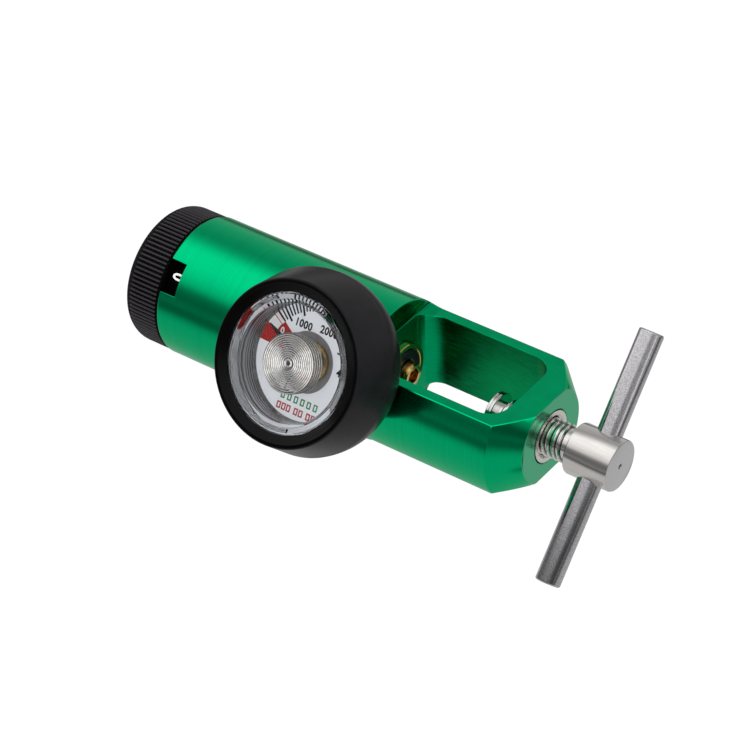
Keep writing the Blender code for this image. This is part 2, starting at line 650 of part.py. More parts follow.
def boot_profile():
    """The rubber boot: a tapered cup round the case, with a lip over the case's rim."""
    pocket = CASE_RADIUS + SLIDING_GAP
    case_top = LENS_EDGE - CASE_RIM_DEPTH + SEAT_GAP
    lip = LENS_SIGHT_RADIUS + SLIDING_GAP
    rim_middle = (BOOT_FRONT - BOOT_RIM_ROUND, BOOT_FRONT_RADIUS - BOOT_RIM_ROUND)
    front = arc(rim_middle, BOOT_RIM_ROUND, 0, math.pi / 2, 2)
    rear_depth = BOOT_WIDEST - BOOT_REAR
    rear_drop = BOOT_WIDEST_RADIUS - BOOT_REAR_RADIUS
    rear = []
    for i in range(5):
        turn = math.pi / 2 * i / 4
        rear.append((BOOT_WIDEST - rear_depth * math.sin(turn), BOOT_REAR_RADIUS + rear_drop * math.cos(turn)))
    inner_rear = BOOT_REAR + BOOT_REAR_WALL
    stem_hole = SOCKET_COLLAR_RADIUS + 2 * SLIDING_GAP
    inside = [
        (BOOT_REAR, stem_hole),
        (inner_rear, stem_hole),
        (inner_rear, pocket),
        (case_top, pocket),
        (case_top, lip),
        (BOOT_FRONT - BOOT_LIP_DEPTH, lip),
        (BOOT_FRONT, BOOT_FRONT_RADIUS - BOOT_RIM_WIDTH),
    ]
    return front + rear + inside


def lens_profile():
    """The clear lens: a slightly domed disc with a skirt down to the dial."""
    skirt_radius = CASE_RADIUS - CASE_WALL - SLIDING_GAP
    skirt_end = DIAL_FACE + SEAT_GAP
    shoulder = LENS_EDGE - CASE_RIM_DEPTH
    inner = skirt_radius - LENS_SKIRT
    shares = (0, 0.4, 0.75, 1)
    dome = [(LENS_EDGE + LENS_CROWN * (1 - s * s), LENS_SIGHT_RADIUS * s) for s in shares]
    under = [(LENS_EDGE - LENS_THICKNESS + LENS_CROWN * (1 - s * s), inner * s) for s in reversed(shares)]
    skirt = [(shoulder, LENS_SIGHT_RADIUS), (shoulder, skirt_radius), (skirt_end, skirt_radius), (skirt_end, inner)]
    return dome + skirt + under


def coil_points():
    """The coiled tube: a feed from the socket, a stack of turns, and a flat spiral in front."""
    head_top = CASE_FLOOR + SEAT_GAP + SOCKET_HEAD_THICKNESS
    start = head_top + SEAT_GAP
    points = []
    feed_radius = SOCKET_HEAD_RADIUS * 0.75
    for i in range(7):
        share = i / 7
        blend = share * share * (3 - 2 * share)
        radius = feed_radius + (COIL_RADIUS - feed_radius) * blend
        angle = COIL_FEED_ANGLE - 0.5 * (1 - share)
        points.append(polar(radius, angle, start + (COIL_STACK_START - start) * share))
    stack = COIL_STACK_TURNS * COIL_POINTS_PER_TURN
    for i in range(stack):
        share = i / COIL_POINTS_PER_TURN
        height = COIL_STACK_START + COIL_PITCH * share
        points.append(polar(COIL_RADIUS, COIL_FEED_ANGLE + 2 * math.pi * share, height))
    flat = COIL_FACE_TURNS * COIL_POINTS_PER_TURN
    for i in range(flat + 1):
        share = i / flat
        radius = COIL_RADIUS + (COIL_FACE_INNER_RADIUS - COIL_RADIUS) * share
        points.append(polar(radius, COIL_FEED_ANGLE + 2 * math.pi * i / COIL_POINTS_PER_TURN, COIL_FRONT))
    return points


def polar(radius, angle, height):
    return (radius * math.cos(angle), radius * math.sin(angle), height)


def build_gauge(finish):
    stem = frame_on_gauge()
    turned("gauge_boot", boot_profile(), 40, stem, finish["rubber"])

    wall_inner = CASE_RADIUS - CASE_WALL
    case_top = LENS_EDGE - CASE_RIM_DEPTH
    ledge = DIAL_FACE - DIAL_THICKNESS - SEAT_GAP
    neck_hole = SOCKET_NECK_RADIUS + PRESSED_GAP
    case = [
        (case_top, CASE_RADIUS),
        (CASE_FLOOR - CASE_FLOOR_THICKNESS, CASE_RADIUS),
        (CASE_FLOOR - CASE_FLOOR_THICKNESS, neck_hole),
        (CASE_FLOOR, neck_hole),
        (CASE_FLOOR, wall_inner - DIAL_LEDGE_WIDTH),
        (ledge, wall_inner - DIAL_LEDGE_WIDTH),
        (ledge, wall_inner),
        (case_top, wall_inner),
    ]
    turned("gauge_case", case, 32, stem, finish["nickel"])

    shank = GAUGE_PORT_RADIUS - PRESSED_GAP
    collar_top = CASE_FLOOR - CASE_FLOOR_THICKNESS - SEAT_GAP
    head_rear = CASE_FLOOR + SEAT_GAP
    head_top = head_rear + SOCKET_HEAD_THICKNESS
    socket = [
        (head_top, 0),
        (head_top, SOCKET_HEAD_RADIUS),
        (head_rear, SOCKET_HEAD_RADIUS),
        (head_rear, SOCKET_NECK_RADIUS),
        (collar_top, SOCKET_NECK_RADIUS),
        (collar_top, SOCKET_COLLAR_RADIUS),
        (BODY_RADIUS + SEAT_GAP, SOCKET_COLLAR_RADIUS),
        (BODY_RADIUS + SEAT_GAP, shank),
        (GAUGE_SHANK_END, shank),
        (GAUGE_SHANK_END, GAS_BORE_RADIUS),
        (head_rear, GAS_BORE_RADIUS),
        (head_rear, 0),
    ]
    turned("gauge_socket", socket, 24, stem, finish["brass"])

    dial_radius = wall_inner - SLIDING_GAP
    dial_rear = DIAL_FACE - DIAL_THICKNESS
    dial = [
        (DIAL_FACE, dial_radius),
        (dial_rear, dial_radius),
        (dial_rear, DIAL_HOLE_RADIUS),
        (DIAL_FACE, DIAL_HOLE_RADIUS),
    ]
    turned("gauge_dial", dial, 40, stem, finish["dial"])
    turned("gauge_lens", lens_profile(), 36, stem, finish["lens"])
    wire("bourdon_coil", coil_points(), COIL_TUBE_RADIUS, 1, stem, finish["steel"])

    turn = Matrix.Rotation(POINTER_ZERO, 4, "Z")
    middle = Matrix.Translation((0, 0, POINTER_FACE - POINTER_THICKNESS / 2))
    blade = arc((0, 0), POINTER_HUB_RADIUS, math.pi / 8, 2 * math.pi - math.pi / 8, 14)
    blade += [(POINTER_REACH - 1 * MM, -POINTER_HALF_WIDTH), (POINTER_REACH, 0)]
    blade += [(POINTER_REACH - 1 * MM, POINTER_HALF_WIDTH)]
    pointer = prism("gauge_pointer", blade, POINTER_THICKNESS, stem @ turn @ middle, finish["pointer"])
    cut(pointer, rod("pointer_hole", STAFF_RADIUS + PRESSED_GAP, -1 * MM, 1 * MM, 12, pointer.matrix_world))
    staff_top = LENS_EDGE - LENS_THICKNESS
    staff = pin_profile(STAFF_RADIUS, head_top + SEAT_GAP, staff_top, STAFF_RADIUS / 3)
    turned("pointer_staff", staff, 12, stem, finish["steel"])


def groove(centre, width, depth_radius, surface_radius):
    """The corners of an O-ring groove, walked from its far side back."""
    far = centre + width / 2
    near = centre - width / 2
    return [(far, surface_radius), (far, depth_radius), (near, depth_radius), (near, surface_radius)]


def build_reducer(finish):
    axis = frame_along_x()
    head_radius = PISTON_BORE_RADIUS - SLIDING_GAP
    stem_radius = STEM_BORE_RADIUS - SLIDING_GAP
    head_section = 0.55 * MM
    stem_section = 0.42 * MM
    head_middle = (PISTON_HEAD_LEFT_X + PISTON_HEAD_RIGHT_X) / 2
    stem_middle = (SPRING_SHOULDER_X + STEM_TIP_X - STEM_TIP_LENGTH) / 2
    head_ring = PISTON_BORE_RADIUS - SLIDING_GAP - head_section
    stem_ring = STEM_BORE_RADIUS - SLIDING_GAP / 2 - stem_section
    pocket_radius = PAD_RADIUS + PRESSED_GAP
    pocket_floor = STEM_TIP_X - PAD_THICKNESS
    tip_start = STEM_TIP_X - STEM_TIP_LENGTH
    gas_end = pocket_floor - 0.6 * MM
    pocket = [(pocket_floor, 0), (pocket_floor, pocket_radius), (STEM_TIP_X, pocket_radius)]
    outside = [(STEM_TIP_X, STEM_TIP_RADIUS), (tip_start, STEM_TIP_RADIUS), (tip_start, stem_radius)]
    outside += groove(stem_middle, 1.2 * MM, stem_ring - stem_section - PRESSED_GAP, stem_radius)
    outside += [(PISTON_HEAD_RIGHT_X, stem_radius), (PISTON_HEAD_RIGHT_X, head_radius)]
    outside += groove(head_middle, 1.5 * MM, head_ring - head_section - PRESSED_GAP, head_radius)
    outside += [(PISTON_HEAD_LEFT_X, head_radius)]
    gas_bore = [(PISTON_HEAD_LEFT_X, GAS_BORE_RADIUS), (gas_end, GAS_BORE_RADIUS), (gas_end, 0)]
    piston = turned("piston", pocket + outside + gas_bore, 20, axis, finish["brass"])
    cross = Matrix.Translation((gas_end - GAS_BORE_RADIUS, 0, 0))
    cut(piston, rod("piston_cross_hole", GAS_BORE_RADIUS * 0.7, -STEM_BORE_RADIUS, STEM_BORE_RADIUS, 8, cross))
    ring("piston_o_ring", head_middle, head_ring, head_section, 20, axis, finish["rubber"])
    ring("stem_o_ring", stem_middle, stem_ring, stem_section, 18, axis, finish["rubber"])
    pad_start = pocket_floor + SEAT_GAP / 2
    rod("seat_pad", PAD_RADIUS, pad_start, pad_start + PAD_THICKNESS, 20, axis, finish["nylon"])

    start = PISTON_HEAD_RIGHT_X + SEAT_GAP + SPRING_WIRE_RADIUS
    end = SPRING_SHOULDER_X - SEAT_GAP - SPRING_WIRE_RADIUS
    coil = helix(SPRING_RADIUS, start, end, SPRING_TURNS, 14)
    wire("piston_spring", coil, SPRING_WIRE_RADIUS, 1, axis, finish["spring"])


def helix(radius, start, end, turns, points_per_turn):
    count = round(turns * points_per_turn)
    return [
        polar(radius, 2 * math.pi * i / points_per_turn, start + (end - start) * i / count)
        for i in range(count + 1)
    ]


def on_axis_at(angle, radius):
    """A frame parallel to the body's axis at a polar place; angle 0 points to the gauge's side."""
    out = Matrix.Rotation(-GAUGE_TILT - angle, 4, "X") @ Vector((0, -radius, 0))
    return Matrix.Translation(out) @ frame_along_x()


def build_selector(finish):
    axis = frame_along_x()
    spindle_bore = SPINDLE_RADIUS + SLIDING_GAP
    head_radius = HEAD_BORE_RADIUS - SLIDING_GAP
    flange_radius = DRUM_BORE_RADIUS - SLIDING_GAP
    flange_right = STEPPED_BORE_X - SEAT_GAP
    static_section = 0.55 * MM
    static_ring = HEAD_BORE_RADIUS - SLIDING_GAP / 2 - static_section
    static_x = HEAD_FACE_X - 2.8 * MM
    head = [(HEAD_FACE_X, head_radius)]
    head += groove(static_x, 1.5 * MM, static_ring - static_section - PRESSED_GAP, head_radius)
    head += [
        (flange_right, head_radius),
        (flange_right, flange_radius),
        (HEAD_FLANGE_LEFT_X, flange_radius),
        (HEAD_FLANGE_LEFT_X, HEAD_BOSS_RADIUS),
        (HEAD_BOSS_X, HEAD_BOSS_RADIUS),
        (HEAD_BOSS_X, spindle_bore),
        (HEAD_FACE_X, spindle_bore),
    ]
    flow_head = turned("flow_head", head, 24, axis, finish["aluminium"])
    port = on_axis_at(math.pi, ORIFICE_CIRCLE_RADIUS)
    port_ring_section = 0.5 * MM
    port_ring_radius = OUTLET_PORT_RADIUS + PRESSED_GAP + port_ring_section
    pocket_depth = 2 * port_ring_section + SEAT_GAP / 2
    pocket_radius = port_ring_radius + port_ring_section + PRESSED_GAP
    cut(flow_head, rod("outlet_port", OUTLET_PORT_RADIUS, BARB_X, 0, 10, port))
    cut(flow_head, rod("port_ring_seat", pocket_radius, HEAD_FACE_X - pocket_depth, 0, 14, port))
    outlet = frame_on_outlet()
    cut(flow_head, rod("outlet_cross_port", OUTLET_PORT_RADIUS, ORIFICE_CIRCLE_RADIUS, 2 * BODY_RADIUS, 10, outlet))
    barb_end = HEAD_BORE_RADIUS - 1 * MM
    cut(flow_head, rod("barb_relief", BARB_SHANK_RADIUS + PRESSED_GAP, barb_end, 2 * BODY_RADIUS, SMALL_STEPS, outlet))
    detent = on_axis_at(0, DETENT_CIRCLE_RADIUS)
    pocket_end = HEAD_FACE_X - DETENT_POCKET_DEPTH
    cut(flow_head, rod("detent_pocket", DETENT_BALL_RADIUS + PRESSED_GAP, pocket_end, 0, 12, detent))
    ring("head_o_ring", static_x, static_ring, static_section, 24, axis, finish["rubber"])
    ring_x = HEAD_FACE_X - pocket_depth / 2
    ring("port_o_ring", ring_x, port_ring_radius, port_ring_section, 14, port, finish["rubber"])

    ball_x = HEAD_FACE_X + SEAT_GAP - PRESSED_GAP - DETENT_BALL_RADIUS
    ball = arc((ball_x, 0), DETENT_BALL_RADIUS, 0, math.pi, 6)
    ball = [(along, 0 if i in (0, 6) else radius) for i, (along, radius) in enumerate(ball)]
    turned("detent_ball", ball, 12, detent, finish["steel"])
    detent_wire = 0.25 * MM
    coil_radius = DETENT_BALL_RADIUS - detent_wire
    first = pocket_end + SEAT_GAP + detent_wire
    last = ball_x - DETENT_BALL_RADIUS * 0.75 - detent_wire
    wire("detent_spring", helix(coil_radius, first, last, 3, 10), detent_wire, 0, detent, finish["spring"])

    disc = [
        (DISC_RIGHT_X, DISC_RADIUS),
        (DISC_FACE_X, DISC_RADIUS),
        (DISC_FACE_X, SPINDLE_RADIUS + PRESSED_GAP),
        (DISC_RIGHT_X, SPINDLE_RADIUS + PRESSED_GAP),
    ]
    orifice_disc = turned("orifice_disc", disc, 30, axis, finish["brass"])
    click = 2 * math.pi / CLICKS
    ball_top = DETENT_BALL_RADIUS
    for i in range(CLICKS):
        place = on_axis_at(i * click, DETENT_CIRCLE_RADIUS)
        dimple_radius = math.sqrt(2 * ball_top * DIMPLE_DEPTH)
        cone = [(DISC_FACE_X + DIMPLE_DEPTH, 0), (DISC_FACE_X - DIMPLE_DEPTH, 2 * dimple_radius)]
        cone += [(DISC_FACE_X - DIMPLE_DEPTH, 0)]
        cut(orifice_disc, turned(f"dimple_{i}", cone, 5, place))
        if i == 0:
            continue
        graded = SMALLEST_ORIFICE + (LARGEST_ORIFICE - SMALLEST_ORIFICE) * (i - 1) / (CLICKS - 2)
        hole_place = on_axis_at(math.pi + i * click, ORIFICE_CIRCLE_RADIUS)
        cut(orifice_disc, rod(f"orifice_{i}", graded, DISC_FACE_X - OVERRUN, DISC_RIGHT_X + OVERRUN, 6, hole_place))

    spindle_section = 0.4 * MM
    spindle_ring = spindle_bore - PRESSED_GAP / 2 - spindle_section
    spindle_ring_x = (HEAD_FACE_X + STEPPED_BORE_X) / 2
    spindle_left = KNOB_END_X + KNOB_END_WALL + SEAT_GAP
    thread_end = spindle_left + KNOB_SCREW_LENGTH
    clip_width = 0.5 * MM
    clip_x = HEAD_BOSS_X - SEAT_GAP - clip_width / 2
    clip_groove = clip_width + SEAT_GAP
    groove_radius = SPINDLE_RADIUS - 0.6 * MM
    spindle = [
        (SPINDLE_END_X, 0),
        (SPINDLE_END_X, SPINDLE_HEAD_RADIUS),
        (DISC_RIGHT_X + SEAT_GAP, SPINDLE_HEAD_RADIUS),
        (DISC_RIGHT_X + SEAT_GAP, SPINDLE_RADIUS),
    ]
    spindle += groove(spindle_ring_x, 1.1 * MM, spindle_ring - spindle_section - PRESSED_GAP / 2, SPINDLE_RADIUS)
    spindle += groove(clip_x, clip_groove, groove_radius, SPINDLE_RADIUS)
    spindle += [
        (spindle_left, SPINDLE_RADIUS),
        (spindle_left, KNOB_SCREW_RADIUS + PRESSED_GAP),
        (thread_end, KNOB_SCREW_RADIUS + PRESSED_GAP),
        (thread_end, 0),
    ]
    turned("selector_spindle", spindle, SMALL_STEPS, axis, finish["steel"])
    ring("spindle_o_ring", spindle_ring_x, spindle_ring, spindle_section, SMALL_STEPS, axis, finish["rubber"])
    opening = math.radians(35)
    clip_outer = SPINDLE_RADIUS + 1.6 * MM
    clip = arc((0, 0), clip_outer, opening, 2 * math.pi - opening, 20)
    clip += arc((0, 0), groove_radius + PRESSED_GAP, 2 * math.pi - opening, opening, SMALL_STEPS)
    prism("spindle_clip", clip, clip_width, frame_along_x(clip_x), finish["spring"])
    build_knob(finish)


def build_knob(finish):
    """The knurled knob, the numbered drum pressed into it and the screw that holds both."""
    axis = frame_along_x()
    edge_middle = (KNOB_END_X + KNOB_EDGE_RADIUS, KNOB_RADIUS - KNOB_EDGE_RADIUS)
    edge = arc(edge_middle, KNOB_EDGE_RADIUS, math.pi / 2, math.pi, 5)
    lip = 0.3 * MM
    screw_hole = KNOB_SCREW_RADIUS + PRESSED_GAP
    counterbore = KNOB_SCREW_HEAD_RADIUS + SLIDING_GAP
    counterbore_x = KNOB_END_X + KNOB_END_WALL / 2
    hub_bore = SPINDLE_RADIUS + PRESSED_GAP
    outside = [(KNOB_FACE_X, KNOB_RADIUS - lip), (KNOB_FACE_X - lip, KNOB_RADIUS)]
    outside += edge
    inside = [
        (KNOB_END_X, counterbore),
        (counterbore_x, counterbore),
        (counterbore_x, screw_hole),
        (KNOB_END_X + KNOB_END_WALL, screw_hole),
        (KNOB_END_X + KNOB_END_WALL, hub_bore),
        (KNOB_FACE_X, hub_bore),
    ]
    knob = turned("flow_knob", outside + inside, KNOB_RIDGES // 2, axis, finish["black"])
    cavity_radius = DRUM_NECK_RADIUS + PRESSED_GAP
    cavity_end = KNOB_FACE_X - DRUM_NECK_LENGTH - SEAT_GAP
    cavity = [
        (KNOB_FACE_X + OVERRUN, cavity_radius),
        (cavity_end, cavity_radius),
        (cavity_end, KNOB_HUB_RADIUS),
        (KNOB_FACE_X + OVERRUN, KNOB_HUB_RADIUS),
    ]
    cut(knob, turned("knob_cavity", cavity, 30, axis))
    cut(knob, groove_cutters())

    drum_left = KNOB_FACE_X - DRUM_NECK_LENGTH
    drum_step = BODY_RIM_X + SEAT_GAP
    drum_right = BODY_RIM_X + WINDOW_LENGTH + 1.1 * MM
    drum = [
        (drum_right, DRUM_RADIUS),
        (drum_step, DRUM_RADIUS),
        (drum_step, DRUM_NECK_RADIUS),
        (drum_left, DRUM_NECK_RADIUS),
        (drum_left, DRUM_INNER_RADIUS),
        (drum_right, DRUM_INNER_RADIUS),
    ]
    turned("dial_drum", drum, 40, axis, finish["print"])

    head_inner = counterbore_x - SEAT_GAP
    head_outer = KNOB_END_X + SEAT_GAP
    shank_end = KNOB_END_X + KNOB_END_WALL + KNOB_SCREW_LENGTH - SEAT_GAP
    screw = [
        (shank_end, 0),
        (shank_end, KNOB_SCREW_RADIUS),
        (head_inner, KNOB_SCREW_RADIUS),
        (head_inner, KNOB_SCREW_HEAD_RADIUS),
        (head_outer + 0.3 * MM, KNOB_SCREW_HEAD_RADIUS),
        (head_outer, KNOB_SCREW_HEAD_RADIUS - 0.4 * MM),
        (head_outer, 0),
    ]
    piece = turned("knob_screw", screw, 18, axis, finish["steel"])
    recess = regular_outline(6, KNOB_SCREW_HEAD_RADIUS * 0.45)
    cut(piece, prism("knob_screw_hex", recess, 1.4 * MM, frame_along_x(head_outer)))


def groove_cutters():
    """One cutter with a long V-shaped wedge for each groove between the knob's ridges."""
    start = KNOB_END_X + KNOB_EDGE_RADIUS * 0.5
    end = KNOB_FACE_X + OVERRUN
    floor = KNOB_RADIUS - KNOB_GROOVE_DEPTH
    outer = KNOB_RADIUS + KNOB_GROOVE_DEPTH
    corners = ((floor, 0), (outer, -KNOB_GROOVE_WIDTH), (outer, KNOB_GROOVE_WIDTH))
    shape = bmesh.new()
    for i in range(KNOB_RIDGES):
        turn = Matrix.Rotation(2 * math.pi * (i + 0.5) / KNOB_RIDGES, 4, "Z")
        ends = []
        for along in (start, end):
            ends.append([shape.verts.new(turn @ Vector((out, side, along))) for out, side in corners])
        shape.faces.new(ends[0])
        shape.faces.new(ends[1])
        for j in range(3):
            k = (j + 1) % 3
            shape.faces.new((ends[0][j], ends[0][k], ends[1][k], ends[1][j]))
    bmesh.ops.recalc_face_normals(shape, faces=shape.faces)
    mesh = bpy.data.meshes.new("knob_grooves")
    shape.to_mesh(mesh)
    shape.free()
    return add_object("knob_grooves", mesh, frame_along_x(), None)


def build_outlet(finish):
    outlet = frame_on_outlet()
    hex_start = BODY_RADIUS + SEAT_GAP
    hex_end = hex_start + BARB_HEX_HEIGHT
    stem_end = hex_end + 2 * MM
    tip = stem_end + BARB_COUNT * BARB_PITCH
    profile = [(tip, BARB_STEM_RADIUS)]
    for i in range(BARB_COUNT):
        peak = tip - i * BARB_PITCH - BARB_PITCH * 0.8
        profile += [(peak, BARB_RADIUS), (peak, BARB_STEM_RADIUS)]
    shank_end = HEAD_BORE_RADIUS - MM + SEAT_GAP
    profile += [
        (hex_end, BARB_STEM_RADIUS),
        (hex_end, BARB_HEX_RADIUS),
        (hex_start, BARB_HEX_RADIUS),
        (hex_start, BARB_SHANK_RADIUS),
        (shank_end, BARB_SHANK_RADIUS),
        (shank_end, BARB_BORE_RADIUS),
        (tip, BARB_BORE_RADIUS),
    ]
    barb = turned("outlet_barb", profile, 18, outlet, finish["nickel"])
    flats = regular_outline(6, BARB_HEX_RADIUS * 1.02, math.pi / 6)
    outer = regular_outline(12, BARB_HEX_RADIUS * 1.6)
    middle = Matrix.Translation((0, 0, (hex_start + hex_end) / 2))
    collar = prism("barb_hex_collar", outer, 3 * BARB_HEX_HEIGHT, outlet @ middle)
    cut(collar, prism("barb_hex_core", flats, 4 * BARB_HEX_HEIGHT, outlet @ middle))
    cut(barb, collar)


def shade_round_pieces():
    """Bakes each piece's modifiers and shades it smooth, with its corners kept sharp."""
    graph = bpy.context.evaluated_depsgraph_get()
    for thing in part_collection().objects:
        mesh = bpy.data.meshes.new_from_object(thing.evaluated_get(graph))
        thing.modifiers.clear()
        thing.data = mesh
        mesh.shade_smooth()
        mesh.set_sharp_from_angle(angle=SHARP_ANGLE)


def main():
    for thing in list(bpy.data.objects):
        bpy.data.objects.remove(thing)
    finish = finishes()
    build_body(finish)
    build_inlet(finish)
    build_clamp(finish)
    build_gauge(finish)
    build_reducer(finish)
    build_selector(finish)
    build_outlet(finish)
    bpy.context.view_layer.update()
    shade_round_pieces()


main()
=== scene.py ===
"""Looks of the oxygen flow regulator: finishes, printed dial, cut threads, light and camera."""

import json
import logging
import math
from contextlib import contextmanager
from dataclasses import dataclass
from enum import Enum
from typing import Any, Iterable, Iterator, Sequence, Union

import bpy
from mathutils import Matrix, Vector


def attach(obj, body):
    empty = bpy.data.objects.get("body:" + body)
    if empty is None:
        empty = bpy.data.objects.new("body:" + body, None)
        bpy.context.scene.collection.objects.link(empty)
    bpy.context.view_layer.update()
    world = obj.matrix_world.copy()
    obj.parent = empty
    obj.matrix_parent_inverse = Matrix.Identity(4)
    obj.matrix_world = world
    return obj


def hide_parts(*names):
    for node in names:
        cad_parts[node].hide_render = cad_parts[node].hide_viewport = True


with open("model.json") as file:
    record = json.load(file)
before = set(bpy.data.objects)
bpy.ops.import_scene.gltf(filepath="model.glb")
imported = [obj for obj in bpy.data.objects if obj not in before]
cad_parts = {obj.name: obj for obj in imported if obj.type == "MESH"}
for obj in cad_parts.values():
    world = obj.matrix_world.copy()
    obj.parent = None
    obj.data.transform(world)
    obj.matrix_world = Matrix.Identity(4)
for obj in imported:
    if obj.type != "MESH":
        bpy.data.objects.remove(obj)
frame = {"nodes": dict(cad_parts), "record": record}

log = logging.getLogger("regulator")
MM = 0.001
WELD = 0.000001
CAP_HEIGHT = 0.69
Colour = tuple[float, float, float]
Outline = list[tuple[float, float]]
Slab = tuple[Matrix, tuple[float, float, float]]


# Places and outlines


def basis(x: Vector, y: Vector, z: Vector, origin: Vector) -> Matrix:
    """The matrix whose columns are three directions and a place."""
    return Matrix([[column[row] for column in (x, y, z, origin)] for row in range(3)] + [[0.0, 0.0, 0.0, 1.0]])


def shift(x_mm: float, y_mm: float = 0.0, z_mm: float = 0.0) -> Matrix:
    """A move by millimetres."""
    return Matrix.Translation((x_mm * MM, y_mm * MM, z_mm * MM))


def turn_by(degrees: float, axis: str) -> Matrix:
    """A turn about one axis."""
    return Matrix.Rotation(math.radians(degrees), 4, axis)


def polar(radius_mm: float, degrees: float, out_mm: float = 0.0) -> Vector:
    """A place in a dial's plane, from its radius and its angle from the right."""
    a = math.radians(degrees)
    return Vector((radius_mm * math.cos(a), radius_mm * math.sin(a), out_mm)) * MM


def arc(cx: float, cy: float, radius: float, first: float, last: float, count: int) -> Outline:
    """Points of an arc, both ends with them, in millimetres and degrees."""
    turns = [math.radians(first + (last - first) * i / count) for i in range(count + 1)]
    return [(cx + radius * math.cos(t), cy + radius * math.sin(t)) for t in turns]


class Frame:
    """The two working frames of the model: along the body's axis, and out along the gauge's stem."""

    GAUGE_X_MM = -10.67
    TILT = math.radians(30.9)
    OUT = Vector((0.0, -math.cos(TILT), math.sin(TILT)))
    UP = Vector((0.0, math.sin(TILT), math.cos(TILT)))

    @classmethod
    def gauge(cls, out_mm: float = 0.0) -> Matrix:
        """The dial's frame, out from the body's axis: X to its right, Y up it and Z out of it."""
        origin = Vector((cls.GAUGE_X_MM * MM, 0.0, 0.0)) + cls.OUT * (out_mm * MM)
        return basis(Vector((1.0, 0.0, 0.0)), cls.UP, cls.OUT, origin)

    @staticmethod
    def axis(along_mm: float = 0.0) -> Matrix:
        """The matrix that lays local Z along the body's axis, towards the handle."""
        rows = ((0.0, 0.0, 1.0, along_mm * MM), (1.0, 0.0, 0.0, 0.0), (0.0, 1.0, 0.0, 0.0), (0.0, 0.0, 0.0, 1.0))
        return Matrix(rows)


# Shader graph


class Wire:
    """A socket of a shader graph that takes part in plain Python arithmetic."""

    def __init__(self, graph: "Graph", socket: Any) -> None:
        """Keeps the graph and the socket."""
        self.graph = graph
        self.socket = socket

    def _math(self, operation: str, *values: "Value") -> "Wire":
        """The result of a Math node on wires or numbers."""
        return self.graph.add("ShaderNodeMath", {"operation": operation}, dict(enumerate(values)))

    def __add__(self, other: "Value") -> "Wire":
        """Sum."""
        return self._math("ADD", self, other)

    def __mul__(self, other: "Value") -> "Wire":
        """Product."""
        return self._math("MULTIPLY", self, other)

    def __sub__(self, other: "Value") -> "Wire":
        """Difference."""
        return self._math("SUBTRACT", self, other)

    def __rsub__(self, other: "Value") -> "Wire":
        """Difference, reflected."""
        return self._math("SUBTRACT", other, self)

    def __truediv__(self, other: "Value") -> "Wire":
        """Quotient."""
        return self._math("DIVIDE", self, other)

    __radd__ = __add__
    __rmul__ = __mul__

    def sine(self) -> "Wire":
        """Sine, of radians."""
        return self._math("SINE", self)

    def angle_from(self, across: "Wire") -> "Wire":
        """The angle of (across, self), in radians."""
        return self._math("ARCTAN2", self, across)

    def size(self) -> "Wire":
        """The value without its sign."""
        return self._math("POWER", self * self, 0.5)

    def hypot(self, other: "Wire") -> "Wire":
        """The length of the pair (self, other)."""
        return self._math("POWER", self * self + other * other, 0.5)

    def most(self, other: "Value") -> "Wire":
        """The larger of two values."""
        return self._math("MAXIMUM", self, other)

    def ramp(self, low: float, high: float, to_low: float = 0.0, to_high: float = 1.0) -> "Wire":
        """Maps low..high smoothly to to_low..to_high, held at both ends."""
        settings = {"interpolation_type": "SMOOTHSTEP"}
        return self.graph.add("ShaderNodeMapRange", settings, {0: self, 1: low, 2: high, 3: to_low, 4: to_high})

    def past(self, edge: float, width: float) -> "Wire":
        """0 below an edge and 1 beyond it, over twice a width."""
        return self.ramp(edge - width, edge + width)

    def short_of(self, edge: float, width: float) -> "Wire":
        """1 below an edge and 0 beyond it, over twice a width."""
        return self.ramp(edge - width, edge + width, 1.0, 0.0)


Value = Union[Wire, float, int]


